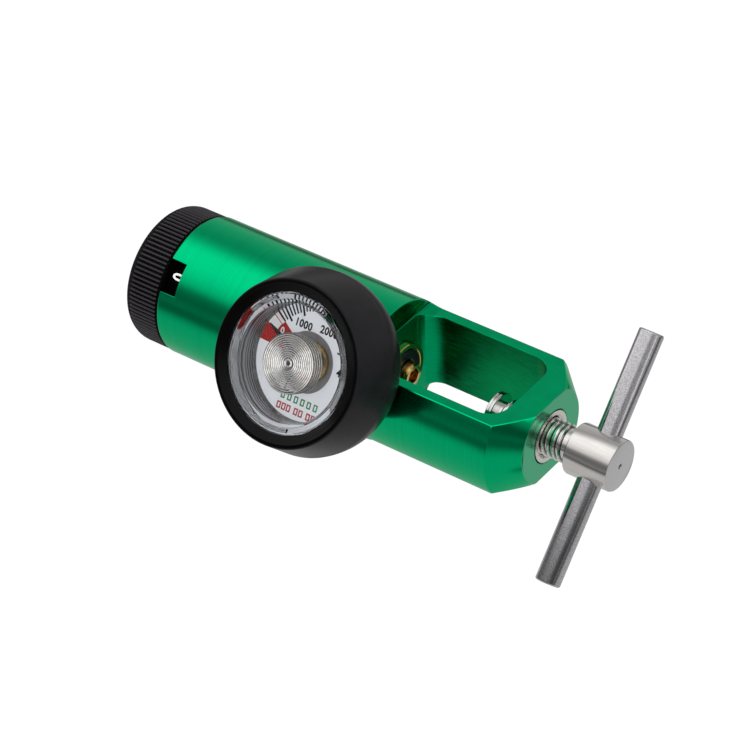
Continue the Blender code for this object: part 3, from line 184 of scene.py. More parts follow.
class Graph:
    """A node tree with one way to add a node."""

    def __init__(self, owner: Any) -> None:
        """Starts from an empty tree.

        Args:
            owner: a material or a world.
        """
        owner.use_nodes = True
        self.tree = owner.node_tree
        self.tree.nodes.clear()

    def node(self, kind: str, settings: dict[str, Any] | None = None, inputs: dict[Any, Any] | None = None) -> Any:
        """Adds a node.

        Args:
            kind: the node's type.
            settings: its own settings, set first.
            inputs: its sockets, by name or number, with a wire or a plain value for each.

        Returns:
            The node.
        """
        made = self.tree.nodes.new(kind)
        for name, value in (settings or {}).items():
            if name == "stops":
                self._set_stops(made.color_ramp, value)
            else:
                setattr(made, name, value)
        for name, value in (inputs or {}).items():
            if isinstance(value, Wire):
                self.tree.links.new(value.socket, made.inputs[name])
            else:
                made.inputs[name].default_value = value
        return made

    def add(self, kind: str, settings: dict[str, Any] | None = None, inputs: dict[Any, Any] | None = None,
            output: Any = 0) -> Wire:
        """Adds a node and returns the wire of one of its outputs, by name or number."""
        return Wire(self, self.node(kind, settings, inputs).outputs[output])

    @staticmethod
    def _set_stops(ramp: bpy.types.ColorRamp, stops: Sequence[tuple[float, Colour]]) -> None:
        """Gives a colour ramp its stops.

        Args:
            ramp: the colour ramp.
            stops: the place and colour of each stop.
        """
        while len(ramp.elements) < len(stops):
            ramp.elements.new(1.0)
        for element, (place, colour) in zip(ramp.elements, stops):
            element.position = place
            element.color = (*colour, 1.0)

    def blend(self, factor: Value, first: Any, second: Any) -> Wire:
        """Mixes two colours or wires: a factor of 0 gives the first, 1 the second."""
        first, second = (c if isinstance(c, Wire) else (*c, 1.0) for c in (first, second))
        return self.add("ShaderNodeMix", {"data_type": "RGBA"}, {0: factor, 6: first, 7: second}, 2)

    def mix(self, factor: Value, first: Wire, second: Wire) -> Wire:
        """Mixes two shaders."""
        return self.add("ShaderNodeMixShader", None, {0: factor, 1: first, 2: second})

    def parts(self, vector: Wire) -> tuple[Wire, ...]:
        """The three parts of a vector."""
        split = self.node("ShaderNodeSeparateXYZ", None, {0: vector})
        return tuple(Wire(self, split.outputs[i]) for i in range(3))

    def place(self, matrix: Matrix | None = None) -> tuple[Wire, ...]:
        """Object coordinates in millimetres, seen from a frame.

        Args:
            matrix: the frame, or None for the row frame.

        Returns:
            The vector and its three parts.
        """
        inverse = (matrix or Matrix.Identity(4)).inverted()
        turned = self.add("ShaderNodeMapping", {"vector_type": "POINT"}, {
            "Vector": self.add("ShaderNodeTexCoord", None, None, "Object"),
            "Location": inverse.translation / MM,
            "Rotation": inverse.to_euler(),
            "Scale": (1 / MM, 1 / MM, 1 / MM),
        })
        return (turned, *self.parts(turned))

    def vector(self, x: Value, y: Value, z: Value) -> Wire:
        """A vector made of three values."""
        return self.add("ShaderNodeCombineXYZ", None, {0: x, 1: y, 2: z})

    def noise(self, vector: Wire, scale: float, detail: float = 2.0, roughness: float = 0.5) -> Wire:
        """Smooth noise from 0 to 1 at a place."""
        inputs = {"Vector": vector, "Scale": scale, "Detail": detail, "Roughness": roughness}
        return self.add("ShaderNodeTexNoise", {"noise_dimensions": "3D"}, inputs)

    def ray(self, kind: str) -> Wire:
        """1 for rays of one kind, such as Camera or Glossy."""
        return self.add("ShaderNodeLightPath", None, None, f"Is {kind} Ray")


# Finishes


@dataclass(frozen=True)
class Finish:
    """A plain finish; the kinds below add their own pattern."""

    name: str
    colour: Colour
    roughness: float = 0.4
    metallic: float = 0.0
    edge_mm: float = 0.0
    grain: float = 0.12
    grain_mm: float = 0.6
    specular: float = 0.5
    tint: Colour = (1.0, 1.0, 1.0)

    def material(self) -> bpy.types.Material:
        """The material, built at its first use.

        Returns:
            The material.
        """
        made = bpy.data.materials.get(self.name)
        if not made:
            made = bpy.data.materials.new(self.name)
            graph = Graph(made)
            graph.node("ShaderNodeOutputMaterial", None, {0: self.shader(graph)})
        return made

    def shader(self, graph: Graph) -> Wire:
        """Adds the Principled shader and its pattern.

        Args:
            graph: the material's graph.

        Returns:
            The shader.
        """
        shader = graph.node("ShaderNodeBsdfPrincipled", None, {
            "Base Color": (*self.colour, 1.0),
            "Roughness": self.roughness,
            "Metallic": self.metallic,
            "Specular IOR Level": self.specular,
            "Specular Tint": (*self.tint, 1.0),
        })
        for socket, wire in self.pattern(graph).items():
            graph.tree.links.new(wire.socket, shader.inputs[socket])
        return Wire(graph, shader.outputs[0])

    def shades(self, dark: float, light: float) -> tuple[Colour, Colour]:
        """The finish's colour made darker and lighter, as shares of itself."""
        return tuple(c * dark for c in self.colour), tuple(min(1.0, c * light) for c in self.colour)

    def uneven(self, cloud: Wire, low: float, high: float) -> Wire:
        """The finish's roughness, varied between two shares of itself."""
        return cloud.ramp(0.3, 0.7, self.roughness * low, self.roughness * high)

    def skin(self, graph: Graph, colour: Wire, rough: Wire, relief: Wire, depth_mm: float,
             strength: float = 1.0) -> dict[str, Wire]:
        """What every pattern feeds.

        Args:
            graph: the material's graph.
            colour: the colour.
            rough: the roughness.
            relief: the relief, from 0 to 1.
            depth_mm: its depth.
            strength: share of its effect.

        Returns:
            The wires of the shader's sockets, by name.
        """
        inputs: dict[str, Any] = {"Height": relief, "Distance": depth_mm * MM, "Strength": strength}
        if self.edge_mm:
            inputs["Normal"] = graph.add("ShaderNodeBevel", {"samples": 6}, {"Radius": self.edge_mm * MM})
        return {"Base Color": colour, "Roughness": rough, "Normal": graph.add("ShaderNodeBump", None, inputs)}

    def pattern(self, graph: Graph) -> dict[str, Wire]:
        """Slight unevenness of colour and gloss.

        Args:
            graph: the material's graph.

        Returns:
            The wires of the shader's sockets, by name.
        """
        vector = graph.place()[0]
        cloud = graph.noise(vector, 1.0 / self.grain_mm, 3.0)
        fine = graph.noise(vector, 6.0 / self.grain_mm)
        colour = graph.blend(cloud, *self.shades(1 - self.grain, 1 + self.grain))
        rough = cloud.ramp(0.25, 0.75, self.roughness * 0.88, self.roughness * 1.12)
        return self.skin(graph, colour, rough, fine, 0.01, 0.35)


@dataclass(frozen=True)
class Turned(Finish):
    """Metal with fine lathe lines round an axis and rings on its end faces."""

    on_gauge: bool = False
    line_mm: float = 0.14
    depth_mm: float = 0.004
    streak: float = 0.05

    def pattern(self, graph: Graph) -> dict[str, Wire]:
        """Lathe lines, with lighter and darker turns among them.

        Args:
            graph: the material's graph.

        Returns:
            The wires of the shader's sockets, by name.
        """
        vector, x, y, z = graph.place(Frame.gauge() if self.on_gauge else Frame.axis())
        along = graph.vector(x.hypot(y), 0.0, z)
        fine = graph.noise(along, 1.0 / self.line_mm, 1.0)
        broad = graph.noise(along, 0.16 / self.line_mm)
        cloud = graph.noise(vector, 0.35)
        contrast = self.streak * 1.6
        colour = graph.blend(fine * 0.6 + broad * 0.4, *self.shades(1 - contrast, 1 + contrast))
        return self.skin(graph, colour, self.uneven(cloud, 0.92, 1.1), fine, self.depth_mm)


@dataclass(frozen=True)
class Ground(Finish):
    """Bar stock with a ground, faintly speckled skin."""

    speck_mm: float = 0.35

    def pattern(self, graph: Graph) -> dict[str, Wire]:
        """Speckle and short grinding marks.

        Args:
            graph: the material's graph.

        Returns:
            The wires of the shader's sockets, by name.
        """
        vector = graph.place()[0]
        speck = graph.noise(vector, 1.0 / self.speck_mm, 3.0, 0.7)
        broad = graph.noise(vector, 0.4)
        colour = graph.blend(speck.ramp(0.3, 0.7), *self.shades(0.6, 1.2))
        return self.skin(graph, colour, self.uneven(broad, 0.9, 1.15), speck, 0.005, 0.4)


@dataclass(frozen=True)
class Anodised(Turned):
    """Dyed anodised aluminium: turned outside, milled inside the slot and on the flats, with shade painted into the
    slot, on the scoop and on the rim next to the knob.
    """

    flat_mm: float = 10.75
    cone_mm: float = 37.0
    round_mm: float = 18.7
    slot_mm: tuple[float, float] = (-2.1, -1.95)
    scoop_mm: tuple[float, float] = (10.8, 11.1)
    end_mm: tuple[float, float] = (43.9, 44.0)
    seam_mm: tuple[float, float] = (-65.5, -65.38)
    hatch: tuple[float, float] = (9.5, 95.0)
    # Painted shade in the slot: a dark and a lighter colour along its wall, and milled streaks that lighten it.
    slot_far: Colour = (0.0, 0.07, 0.013)
    slot_near: Colour = (0.0, 0.36, 0.105)
    slot_streak: Colour = (0.0, 0.6, 0.25)
    # Painted shade on the scoop that runs up from each flat.
    scoop: Colour = (0.0, 0.12, 0.035)
    end_face: Colour = (0.13, 0.6, 0.33)
    # Near-black painted shade on the rim's chamfer, where it meets the knob.
    seam: Colour = (0.0, 0.004, 0.001)

    def pattern(self, graph: Graph) -> dict[str, Wire]:
        """Lathe lines on the round parts and a brushed, milled skin inside the slot, with painted shade in the slot, on
        the scoop and at the rim's gap.

        Args:
            graph: the material's graph.

        Returns:
            The wires of the shader's sockets, by name.
        """
        vector, x, y, z = graph.place()
        radius, height = y.hypot(z), z.size()
        flat = height.past(self.flat_mm - 0.04, 0.02) * height.short_of(self.flat_mm + 0.04, 0.02)
        cone = x.past(self.cone_mm, 0.1) * (1 - flat)
        turned = radius.past(self.round_mm, 0.1).most(cone)
        cut = (1 - turned) * (1 - flat)
        in_slot = x.ramp(*self.slot_mm)
        inside = cut * in_slot
        rings = graph.noise(graph.vector(x, radius, 0.0), 1.0 / self.line_mm, 1.0)
        step, turns = x * self.hatch[0], z.angle_from(y) * self.hatch[1]
        hatch = (step + turns).sine() * (step - turns).sine()
        milled = graph.noise(graph.vector(x * 0.25, y * 0.25, z * 5.0), 1.0)
        broad = graph.noise(graph.vector(x, 0.0, 0.0), 0.5)
        cloud = graph.noise(vector, 0.3)
        lathe = rings * 0.4 + broad * 0.25 + (hatch * 0.5 + 0.5) * 0.35
        shade = lathe * turned + (milled * 0.7 + cloud * 0.3) * (1 - turned)
        contrast = self.streak * 2.4
        skin = graph.blend(shade, *self.shades(1 - contrast, 1 + contrast))
        # Painted shade inside the slot: lighter towards +X and lower down, streaked lighter by the milling, weaker at
        # the slot's left end.
        painted_light = x.ramp(2.0, 24.0) * (1 - z.ramp(-4.0, 10.0) * 0.45)
        painted_slot_shade = graph.blend(painted_light, self.slot_far, self.slot_near)
        painted_slot_shade = graph.blend(milled.ramp(0.35, 0.68, 0.0, 0.26) * inside, painted_slot_shade, self.slot_streak)
        worked = graph.blend(inside * (1 - x.ramp(0.5, 4.0, 0.75, 0.0)), skin, painted_slot_shade)
        # Painted shade on the scoop, broken up by the milling.
        scoop = cut * (1 - in_slot) * height.ramp(*self.scoop_mm)
        worked = graph.blend(scoop * milled.ramp(0.3, 0.7, 1.0, 0.55), worked, self.scoop)
        worked = graph.blend(x.ramp(*self.end_mm), worked, self.end_face)
        # Near-black painted shade on the rim, standing for the dark gap next to the knob.
        colour = graph.blend(x.ramp(*self.seam_mm), self.seam, worked)
        rough = self.uneven(cloud, 0.94, 1.06) + inside * 0.14
        return self.skin(graph, colour, rough, rings * turned + milled * (1 - turned), self.depth_mm)


@dataclass(frozen=True)
class HubSteel(Turned):
    """Turned steel whose end face past a plane is cut brighter than its sides."""

    face_mm: float = 63.9
    dimple_mm: float = 0.9
    sides: tuple[Colour, Colour] = ((0.66, 0.63, 0.6), (1.0, 0.97, 0.94))
    ends: tuple[Colour, Colour] = ((0.68, 0.67, 0.675), (0.84, 0.83, 0.84))
    # Painted shade in the centre dimple.
    dimple: Colour = (0.2, 0.19, 0.19)

    def pattern(self, graph: Graph) -> dict[str, Wire]:
        """Lengthwise drawing marks on the sides, rings on the face and painted shade in the dimple.

        Args:
            graph: the material's graph.

        Returns:
            The wires of the shader's sockets, by name.
        """
        vector, x, y, z = graph.place(Frame.axis())
        radius = x.hypot(y)
        face = z.ramp(self.face_mm - 0.05, self.face_mm).most(radius.short_of(self.dimple_mm, 0.05))
        drawn = graph.noise(graph.vector(y.angle_from(x) * 9.0, z * 0.12, 0.0), 1.6)
        rings = graph.noise(graph.vector(radius, 0.0, 0.0), 1.0 / self.line_mm, 1.0)
        speck = graph.noise(vector, 2.4, 3.0)
        sides = graph.blend(drawn * 0.7 + speck * 0.3, *self.sides)
        # The centre dimple gets its painted shade.
        ends = graph.blend(radius.ramp(0.62, 0.8), self.dimple, graph.blend(rings, *self.ends))
        rough = face.ramp(0.0, 1.0, self.roughness, self.roughness * 1.5)
        relief = drawn * (1 - face) + rings * face
        return self.skin(graph, graph.blend(face, sides, ends), rough, relief, self.depth_mm)


@dataclass(frozen=True)
class ThreadSteel(Turned):
    """Thread crests with a painted highlight over roots with painted shade."""

    root_mm: float = 4.2
    crest_mm: float = 4.95
    # Painted shade in the roots and a painted highlight on the crests.
    root: Colour = (0.12, 0.12, 0.12)
    crest: Colour = (1.0, 0.98, 0.96)

    def pattern(self, graph: Graph) -> dict[str, Wire]:
        """Painted shade in the roots of the thread and a painted highlight on its crests.

        Args:
            graph: the material's graph.

        Returns:
            The wires of the shader's sockets, by name.
        """
        vector, x, y, _ = graph.place(Frame.axis())
        fine = graph.noise(vector, 3.0)
        # From painted shade at the root radius to a painted highlight at the crest radius.
        colour = graph.blend(x.hypot(y).ramp(self.root_mm, self.crest_mm), self.root, self.crest)
        return self.skin(graph, colour, self.uneven(fine, 0.8, 1.3), fine, self.depth_mm, 0.6)


@dataclass(frozen=True)
class Ridged(Turned):
    """Black anodised ridges, with painted shade in the grooves, on the rounded end and on the face next to the body."""

    ridges: int = 96
    end_mm: float = -75.0
    # Where the painted shade of the gap next to the body begins on the knob's face.
    seam_mm: float = -66.4
    # Near-black painted shade in the grooves.
    groove: Colour = (0.0006, 0.0006, 0.0008)
    groove_roughness: float = 0.75

    def pattern(self, graph: Graph) -> dict[str, Wire]:
        """Dull grooves and satin ridges, with shade painted into the grooves, onto the rounded end and onto the face
        next to the body.

        Args:
            graph: the material's graph.

        Returns:
            The wires of the shader's sockets, by name.
        """
        vector, x, y, z = graph.place(Frame.axis())
        side = z.past(self.end_mm, 0.4)
        ridge = (y.angle_from(x) * self.ridges + math.pi / 4).sine().past(0.0, 0.25)
        # Painted shade: near-black grooves, a mostly shaded rounded end, and shade on the face next to the body.
        top = (ridge * side + (1 - side) * 0.14) * z.short_of(self.seam_mm, 0.1)
        rough = top.ramp(0.0, 1.0, self.groove_roughness, self.roughness)
        colour = graph.blend(top, self.groove, self.colour)
        return self.skin(graph, colour, rough, graph.noise(vector, 4.0), self.depth_mm, 0.7)


@dataclass(frozen=True)
class BootRubber(Turned):
    """Moulded rubber, black and glossy in front and duller on its side, where a lighter colour paints light."""

    front_mm: float = 20.7
    # Darker colour for the front; the side's lighter colour is painted light.
    front: Colour = (0.0008, 0.0008, 0.0012)
    front_roughness: float = 0.2

    def pattern(self, graph: Graph) -> dict[str, Wire]:
        """A dull side painted lighter than the front, with a faint random bloom and faint moulding rings.

        Args:
            graph: the material's graph.

        Returns:
            The wires of the shader's sockets, by name.
        """
        vector, x, y, z = graph.place(Frame.gauge())
        radius = x.hypot(y)
        side = radius.past(self.front_mm, 0.2)
        fine = graph.noise(graph.vector(radius, 0.0, z), 1.0 / self.line_mm, 1.0)
        # The side is painted lighter than the front, with a faint random bloom.
        painted_side_light_and_bloom = side * graph.noise(vector, 0.35).ramp(0.3, 0.7, 0.85, 1.0)
        rough = side.ramp(0.0, 1.0, self.front_roughness, self.roughness)
        return self.skin(graph, graph.blend(painted_side_light_and_bloom, self.front, self.colour), rough, fine, self.depth_mm)


@dataclass(frozen=True)
class CaseSteel(Turned):
    """The gauge's case: a turned wall with painted reflections in bright and dark rings, over a dull floor."""

    floor_mm: float = 29.2
    # Dark and bright painted reflections, laid as rings up the wall.
    wall: tuple[Colour, Colour] = ((0.03, 0.03, 0.04), (0.5, 0.51, 0.55))
    floor: Colour = (0.42, 0.42, 0.43)

    def pattern(self, graph: Graph) -> dict[str, Wire]:
        """Painted reflections in rings up the wall, and a dull skin under the dial.

        Args:
            graph: the material's graph.

        Returns:
            The wires of the shader's sockets, by name.
        """
        vector, _, _, z = graph.place(Frame.gauge())
        under = z.ramp(self.floor_mm - 0.2, self.floor_mm, 1.0, 0.0)
        # Painted reflection rings up the wall, also used as its relief.
        rings = graph.noise(graph.vector(0.0, 0.0, z), 1.1, 1.0).ramp(0.42, 0.58)
        cloud = graph.noise(vector, 0.6)
        colour = graph.blend(under, graph.blend(rings, *self.wall), graph.blend(cloud, self.floor, self.colour))
        skin = self.skin(graph, colour, self.uneven(cloud, 0.9, 1.1), rings, self.depth_mm)
        return {**skin, "Metallic": under.ramp(0.0, 1.0, 1.0, 0.1)}


@dataclass(frozen=True)
class CoilSteel(Finish):
    """Polished round wire, wound close, with painted shade between its turns and painted highlights on its crests."""

    crest: tuple[float, float] = (38.08, 38.32)
    outside: tuple[float, float] = (7.34, 7.5)
    # Painted shade between the turns.
    gap: Colour = (0.03, 0.028, 0.026)
    fan_turn: float = 1.2

    def pattern(self, graph: Graph) -> dict[str, Wire]:
        """Painted highlights on the crests of the wire, fanned round the coil's face, and painted shade between the
        turns.

        Args:
            graph: the material's graph.

        Returns:
            The wires of the shader's sockets, by name.
        """
        vector, x, y, z = graph.place(Frame.gauge())
        fan = (y.angle_from(x) * 2.0 + self.fan_turn).sine().ramp(-0.8, 0.8, 0.5, 1.0)
        fine = graph.noise(vector, 0.9).ramp(0.3, 0.7, 0.8, 1.0)
        # Painted highlight on the front crests and the outer turn, fanned round the face; elsewhere the painted shade
        # colour.
        painted_light = z.ramp(*self.crest).most(x.hypot(y).ramp(*self.outside) * 0.9) * fan * fine
        rough = painted_light.ramp(0.0, 1.0, self.roughness * 2.0, self.roughness)
        return self.skin(graph, graph.blend(painted_light, self.gap, self.colour), rough, fine, 0.002, 0.3)


@dataclass(frozen=True)
class ClearLens(Finish):
    """Clear moulded plastic that light passes through."""

    ior: float = 1.49
    bent_share: float = 0.55
    shadow: Colour = (0.99, 0.995, 1.0)

    def shader(self, graph: Graph) -> Wire:
        """Adds the lens's shader, with shadows left clear.

        Args:
            graph: the material's graph.

        Returns:
            The shader.
        """
        haze = graph.noise(graph.place()[0], 0.25)
        colour = (*self.colour, 1.0)
        coated = graph.add("ShaderNodeBsdfPrincipled", None, {
            "Base Color": colour,
            "Roughness": haze.ramp(0.35, 0.75, 0.0, 0.02),
            "IOR": self.ior,
            "Transmission Weight": 1.0,
        })
        bent = graph.add("ShaderNodeBsdfRefraction", None, {"Color": colour, "Roughness": 0.0, "IOR": self.ior})
        clear = graph.add("ShaderNodeBsdfTransparent", None, {0: (*self.shadow, 1.0)})
        passing = graph.ray("Shadow").most(graph.ray("Diffuse"))
        return graph.mix(passing, graph.mix(self.bent_share, coated, bent), clear)


GREEN = Anodised("green_anodised", (0.0, 0.6, 0.23), 0.18, 1.0, line_mm=0.3, streak=0.09, tint=(0.78, 0.96, 0.86))
BLACK = Ridged("black_anodised", (0.033, 0.03, 0.035), specular=0.16)
DRUM = Finish("black_drum", (0.0008, 0.0008, 0.001), 0.6, specular=0.02)
STEEL = Turned("turned_steel", (0.8, 0.785, 0.77), 0.12, 1.0, line_mm=0.25, streak=0.12, depth_mm=0.0015)
HUB = HubSteel("hub_steel", (0.66, 0.645, 0.63), 0.12, 1.0, line_mm=0.3, depth_mm=0.002)
THREAD = ThreadSteel("thread_steel", (0.66, 0.645, 0.63), 0.1, 1.0, depth_mm=0.002)
BAR = Ground("ground_bar", (0.66, 0.645, 0.665), 0.13, 1.0, speck_mm=0.3)
PIN = Ground("dowel_steel", (0.6, 0.6, 0.6), 0.2, 1.0, edge_mm=0.1)
NICKEL = Turned("nickel_plate", (1.0, 0.93, 0.87), 0.3, 1.0, line_mm=0.3)
CASE = CaseSteel("gauge_case_steel", (0.6, 0.6, 0.62), 0.32, 1.0, depth_mm=0.01)
BRASS = Turned("turned_brass", (0.78, 0.55, 0.2), 0.17, 1.0, line_mm=0.2, streak=0.08)
GAUGE_BRASS = Turned("gauge_brass", (0.92, 0.66, 0.24), 0.26, 1.0, on_gauge=True, line_mm=0.2)
BRONZE = Ground("sintered_bronze", (0.4, 0.26, 0.13), 0.6, 0.8, speck_mm=0.25)
RUBBER = BootRubber("boot_rubber", (0.011, 0.0105, 0.012), 0.26, line_mm=0.4, depth_mm=0.003, specular=0.13)
SEAL = Finish("seal_rubber_black", (0.006, 0.006, 0.009), 0.3, grain_mm=0.5, specular=0.4)
NYLON = Finish("seat_nylon", (0.78, 0.77, 0.72), 0.45)
DIAL = Finish("dial_white", (0.92, 0.94, 0.985), 0.5, grain=0.015, grain_mm=3.0, specular=0.15)
COIL = CoilSteel("coil_steel", (1.0, 0.985, 0.965), 0.13, 1.0)
SPRING = Ground("spring_wire", (0.4, 0.4, 0.41), 0.3, 1.0, speck_mm=0.5)
PLAIN = Turned("plain_aluminium_turned", (0.75, 0.75, 0.76), 0.3, 1.0)
LENS = ClearLens("clear_lens_plastic", (1.0, 1.0, 1.0))
INK_BLACK = Finish("ink_black", (0.004, 0.004, 0.006), 0.6, grain_mm=0.3, specular=0.05)
INK_RED = Finish("ink_red", (0.42, 0.008, 0.008), 0.6, grain=0.05, grain_mm=0.5, specular=0.05)
INK_GREEN = Finish("ink_green", (0.004, 0.22, 0.06), 0.6, grain=0.05, grain_mm=0.5, specular=0.05)
INK_WHITE = Finish("ink_white", (0.86, 0.86, 0.86), 0.6, grain=0.03, grain_mm=0.4, specular=0.1)
POINTER = Finish("pointer_black", (0.003, 0.003, 0.004), 0.5, grain_mm=0.5, specular=0.15)


def by_node(groups: dict[Any, str]) -> dict[str, Any]:
    """Turns a table of what goes on which nodes into one entry for each node."""
    return {node: what for what, nodes in groups.items() for node in nodes.split()}


NODE_FINISHES: dict[str, Finish] = by_node({
    GREEN: "body_yoke",
    BLACK: "flow_knob",
    DRUM: "dial_drum",
    BRASS: "seal_rim inlet_nozzle piston orifice_disc",
    SEAL: "seal_rubber piston_o_ring stem_o_ring head_o_ring port_o_ring spindle_o_ring",
    BRONZE: "inlet_filter",
    PIN: "index_pin_front index_pin_rear detent_ball",
    NICKEL: "thread_insert outlet_barb",
    HUB: "clamp_screw",
    BAR: "tee_bar",
    STEEL: "clamp_foot selector_spindle knob_screw",
    RUBBER: "gauge_boot",
    CASE: "gauge_case",
    GAUGE_BRASS: "gauge_socket",
    DIAL: "gauge_dial",
    LENS: "gauge_lens",
    COIL: "bourdon_coil pointer_staff",
    POINTER: "gauge_pointer",
    NYLON: "seat_pad",
    SPRING: "piston_spring detent_spring spindle_clip",
    PLAIN: "flow_head",
})


# Modelling by hand tools


class Hands:
    """The few hand moves that the pieces are made with."""

    @staticmethod
    def clear() -> None:
        """Leaves edit mode and selects nothing."""
        if bpy.context.object and bpy.context.object.mode != "OBJECT":
            bpy.ops.object.mode_set(mode="OBJECT")
        bpy.ops.object.select_all(action="DESELECT")

    @staticmethod
    def pick(piece: bpy.types.Object) -> None:
        """Selects one piece and makes it the active one.

        Args:
            piece: the piece.
        """
        Hands.clear()
        piece.select_set(True)
        bpy.context.view_layer.objects.active = piece

    @staticmethod
    @contextmanager
    def editing() -> Iterator[None]:
        """Edit mode on the active piece, with all of it selected at the start.

        Returns:
            A context, for use in a with statement.
        """
        bpy.ops.object.mode_set(mode="EDIT")
        bpy.ops.mesh.select_all(action="SELECT")
        yield
        bpy.ops.object.mode_set(mode="OBJECT")

    @staticmethod
    def face_out() -> None:
        """Selects all of the mesh in edit mode and turns its faces outwards."""
        bpy.ops.mesh.select_all(action="SELECT")
        bpy.ops.mesh.normals_make_consistent(inside=False)

    @staticmethod
    def named(name: str, finish: Finish) -> bpy.types.Object:
        """Names the active piece and gives it its finish.

        Args:
            name: the piece's name.
            finish: its finish.

        Returns:
            The piece.
        """
        piece = bpy.context.object
        piece.name = name
        piece.data.name = name
        piece.data.materials.clear()
        piece.data.materials.append(finish.material())
        return piece

    @staticmethod
    def settle(piece: bpy.types.Object, matrix: Matrix | None = None, smooth: float | None = 32.0) -> bpy.types.Object:
        """Puts a piece's place into its mesh and shades it.

        Args:
            piece: the piece.
            matrix: the frame that its mesh was made in, if not the row frame.
            smooth: angle in degrees under which its faces shade smooth, or None for flat.

        Returns:
            The piece.
        """
        bpy.context.view_layer.update()
        piece.data.transform((matrix or Matrix.Identity(4)) @ piece.matrix_world)
        piece.matrix_world = Matrix.Identity(4)
        Hands.pick(piece)
        if smooth is not None:
            bpy.ops.object.shade_smooth_by_angle(angle=math.radians(smooth))
        Hands.clear()
        return piece

    @staticmethod
    def line(points_mm: Sequence[Sequence[float]]) -> None:
        """Draws a line as a new active piece, by extruding one vertex from point to point.

        Args:
            points_mm: its points.
        """
        Hands.clear()
        bpy.ops.mesh.primitive_plane_add(size=MM)
        with Hands.editing():
            bpy.ops.mesh.merge(type="CENTER")
            bpy.ops.transform.translate(value=[c * MM for c in points_mm[0]])
            for start, end in zip(points_mm, points_mm[1:]):
                move = [(b - a) * MM for a, b in zip(start, end)]
                bpy.ops.mesh.extrude_region_move(TRANSFORM_OT_translate={"value": move})

    @staticmethod
    def spin(points_mm: Outline, steps: int, pitch_mm: float = 0.0, turns: int = 1) -> None:
        """Turns a lathe profile round Z as a new active piece, or winds it along Z.

        Args:
            points_mm: the profile's (along, radius) points.
            steps: faces in one turn.
            pitch_mm: advance in one turn.
            turns: number of turns.
        """
        Hands.line([(radius, 0, along) for along, radius in points_mm])
        screw = bpy.context.object.modifiers.new("turn", "SCREW")
        screw.axis = "Z"
        screw.steps = screw.render_steps = steps
        screw.screw_offset = pitch_mm * MM
        screw.iterations = turns
        screw.use_merge_vertices = True
        screw.merge_threshold = 10 * WELD
        bpy.ops.object.modifier_apply(modifier=screw.name)

    @staticmethod
    def lathe(name: str, points_mm: Outline, steps: int, finish: Finish, matrix: Matrix,
              smooth: float | None = 32.0) -> bpy.types.Object:
        """A turned piece.

        Args:
            name: its name.
            points_mm: its profile, from the far end back down its outer side.
            steps: faces round it.
            finish: its finish.
            matrix: the frame whose Z is its axis.
            smooth: angle in degrees under which its faces shade smooth, or None.

        Returns:
            The piece.
        """
        Hands.spin(points_mm, steps)
        with Hands.editing():
            bpy.ops.mesh.remove_doubles(threshold=WELD)
            Hands.face_out()
        return Hands.settle(Hands.named(name, finish), matrix, smooth)

    @staticmethod
    def prism(points_mm: Outline, thick_mm: float, matrix: Matrix) -> bpy.types.Object:
        """A flat outline, filled and pulled up to both sides of its plane.

        Args:
            points_mm: the outline in the frame's XY plane.
            thick_mm: its whole thickness along Z.
            matrix: the frame.

        Returns:
            The piece.
        """
        Hands.line([(x, y, -thick_mm / 2) for x, y in points_mm])
        with Hands.editing():
            bpy.ops.mesh.edge_face_add()
            bpy.ops.mesh.extrude_region_move(TRANSFORM_OT_translate={"value": (0, 0, thick_mm * MM)})
            Hands.face_out()
        return Hands.settle(bpy.context.object, matrix, None)

    @staticmethod
    def rod(radius_mm: float, start_mm: float, end_mm: float, matrix: Matrix, steps: int = 64) -> bpy.types.Object:
        """A plain round cutter along a frame's Z.

        Args:
            radius_mm: its radius.
            start_mm: where it starts.
            end_mm: where it ends.
            matrix: the frame.
            steps: faces round it.

        Returns:
            The cutter.
        """
        Hands.clear()
        middle = (start_mm + end_mm) / 2 * MM
        bpy.ops.mesh.primitive_cylinder_add(
            vertices=steps, radius=radius_mm * MM, depth=(end_mm - start_mm) * MM, location=(0, 0, middle))
        return Hands.settle(bpy.context.object, matrix, None)

    @staticmethod
    def cut(piece: bpy.types.Object, cutter: bpy.types.Object) -> None:
        """Cuts one piece out of another and takes the cutter away.

        Args:
            piece: the piece that is cut, left as the active one.
            cutter: the piece that is cut out.
        """
        modifier = piece.modifiers.new("cut", "BOOLEAN")
        modifier.solver = "EXACT"
        modifier.object = cutter
        Hands.pick(piece)
        bpy.ops.object.modifier_apply(modifier=modifier.name)
        bpy.data.objects.remove(cutter)

    @staticmethod
    def break_edges(piece: bpy.types.Object, width_mm: float, angle: float = 38.0) -> None:
        """Takes the sharpness off a piece's edges with a small flat.

        Args:
            piece: the piece.
            width_mm: width of the flat.
            angle: edges sharper than this angle, in degrees, are broken.
        """
        Hands.pick(piece)
        with Hands.editing():
            bpy.ops.mesh.remove_doubles(threshold=30 * WELD)
        bevel = piece.modifiers.new("broken_edge", "BEVEL")
        bevel.width = width_mm * MM
        bevel.segments = 1
        bevel.limit_method = "ANGLE"
        bevel.angle_limit = math.radians(angle)
        bevel.use_clamp_overlap = False
        bpy.ops.object.modifier_apply(modifier=bevel.name)

    @staticmethod
    def stands_for(piece: bpy.types.Object, node: str) -> None:
        """Lets a piece take the place of a node of the model, on the same body.

        Args:
            piece: the piece.
            node: the node.
        """
        bodies = frame["record"]["behaviour"]["bodies"]
        body = next(name for name, nodes in bodies.items() if node in nodes)
        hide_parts(node)
        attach(piece, body)
        log.info("%s stands for %s", piece.name, node)

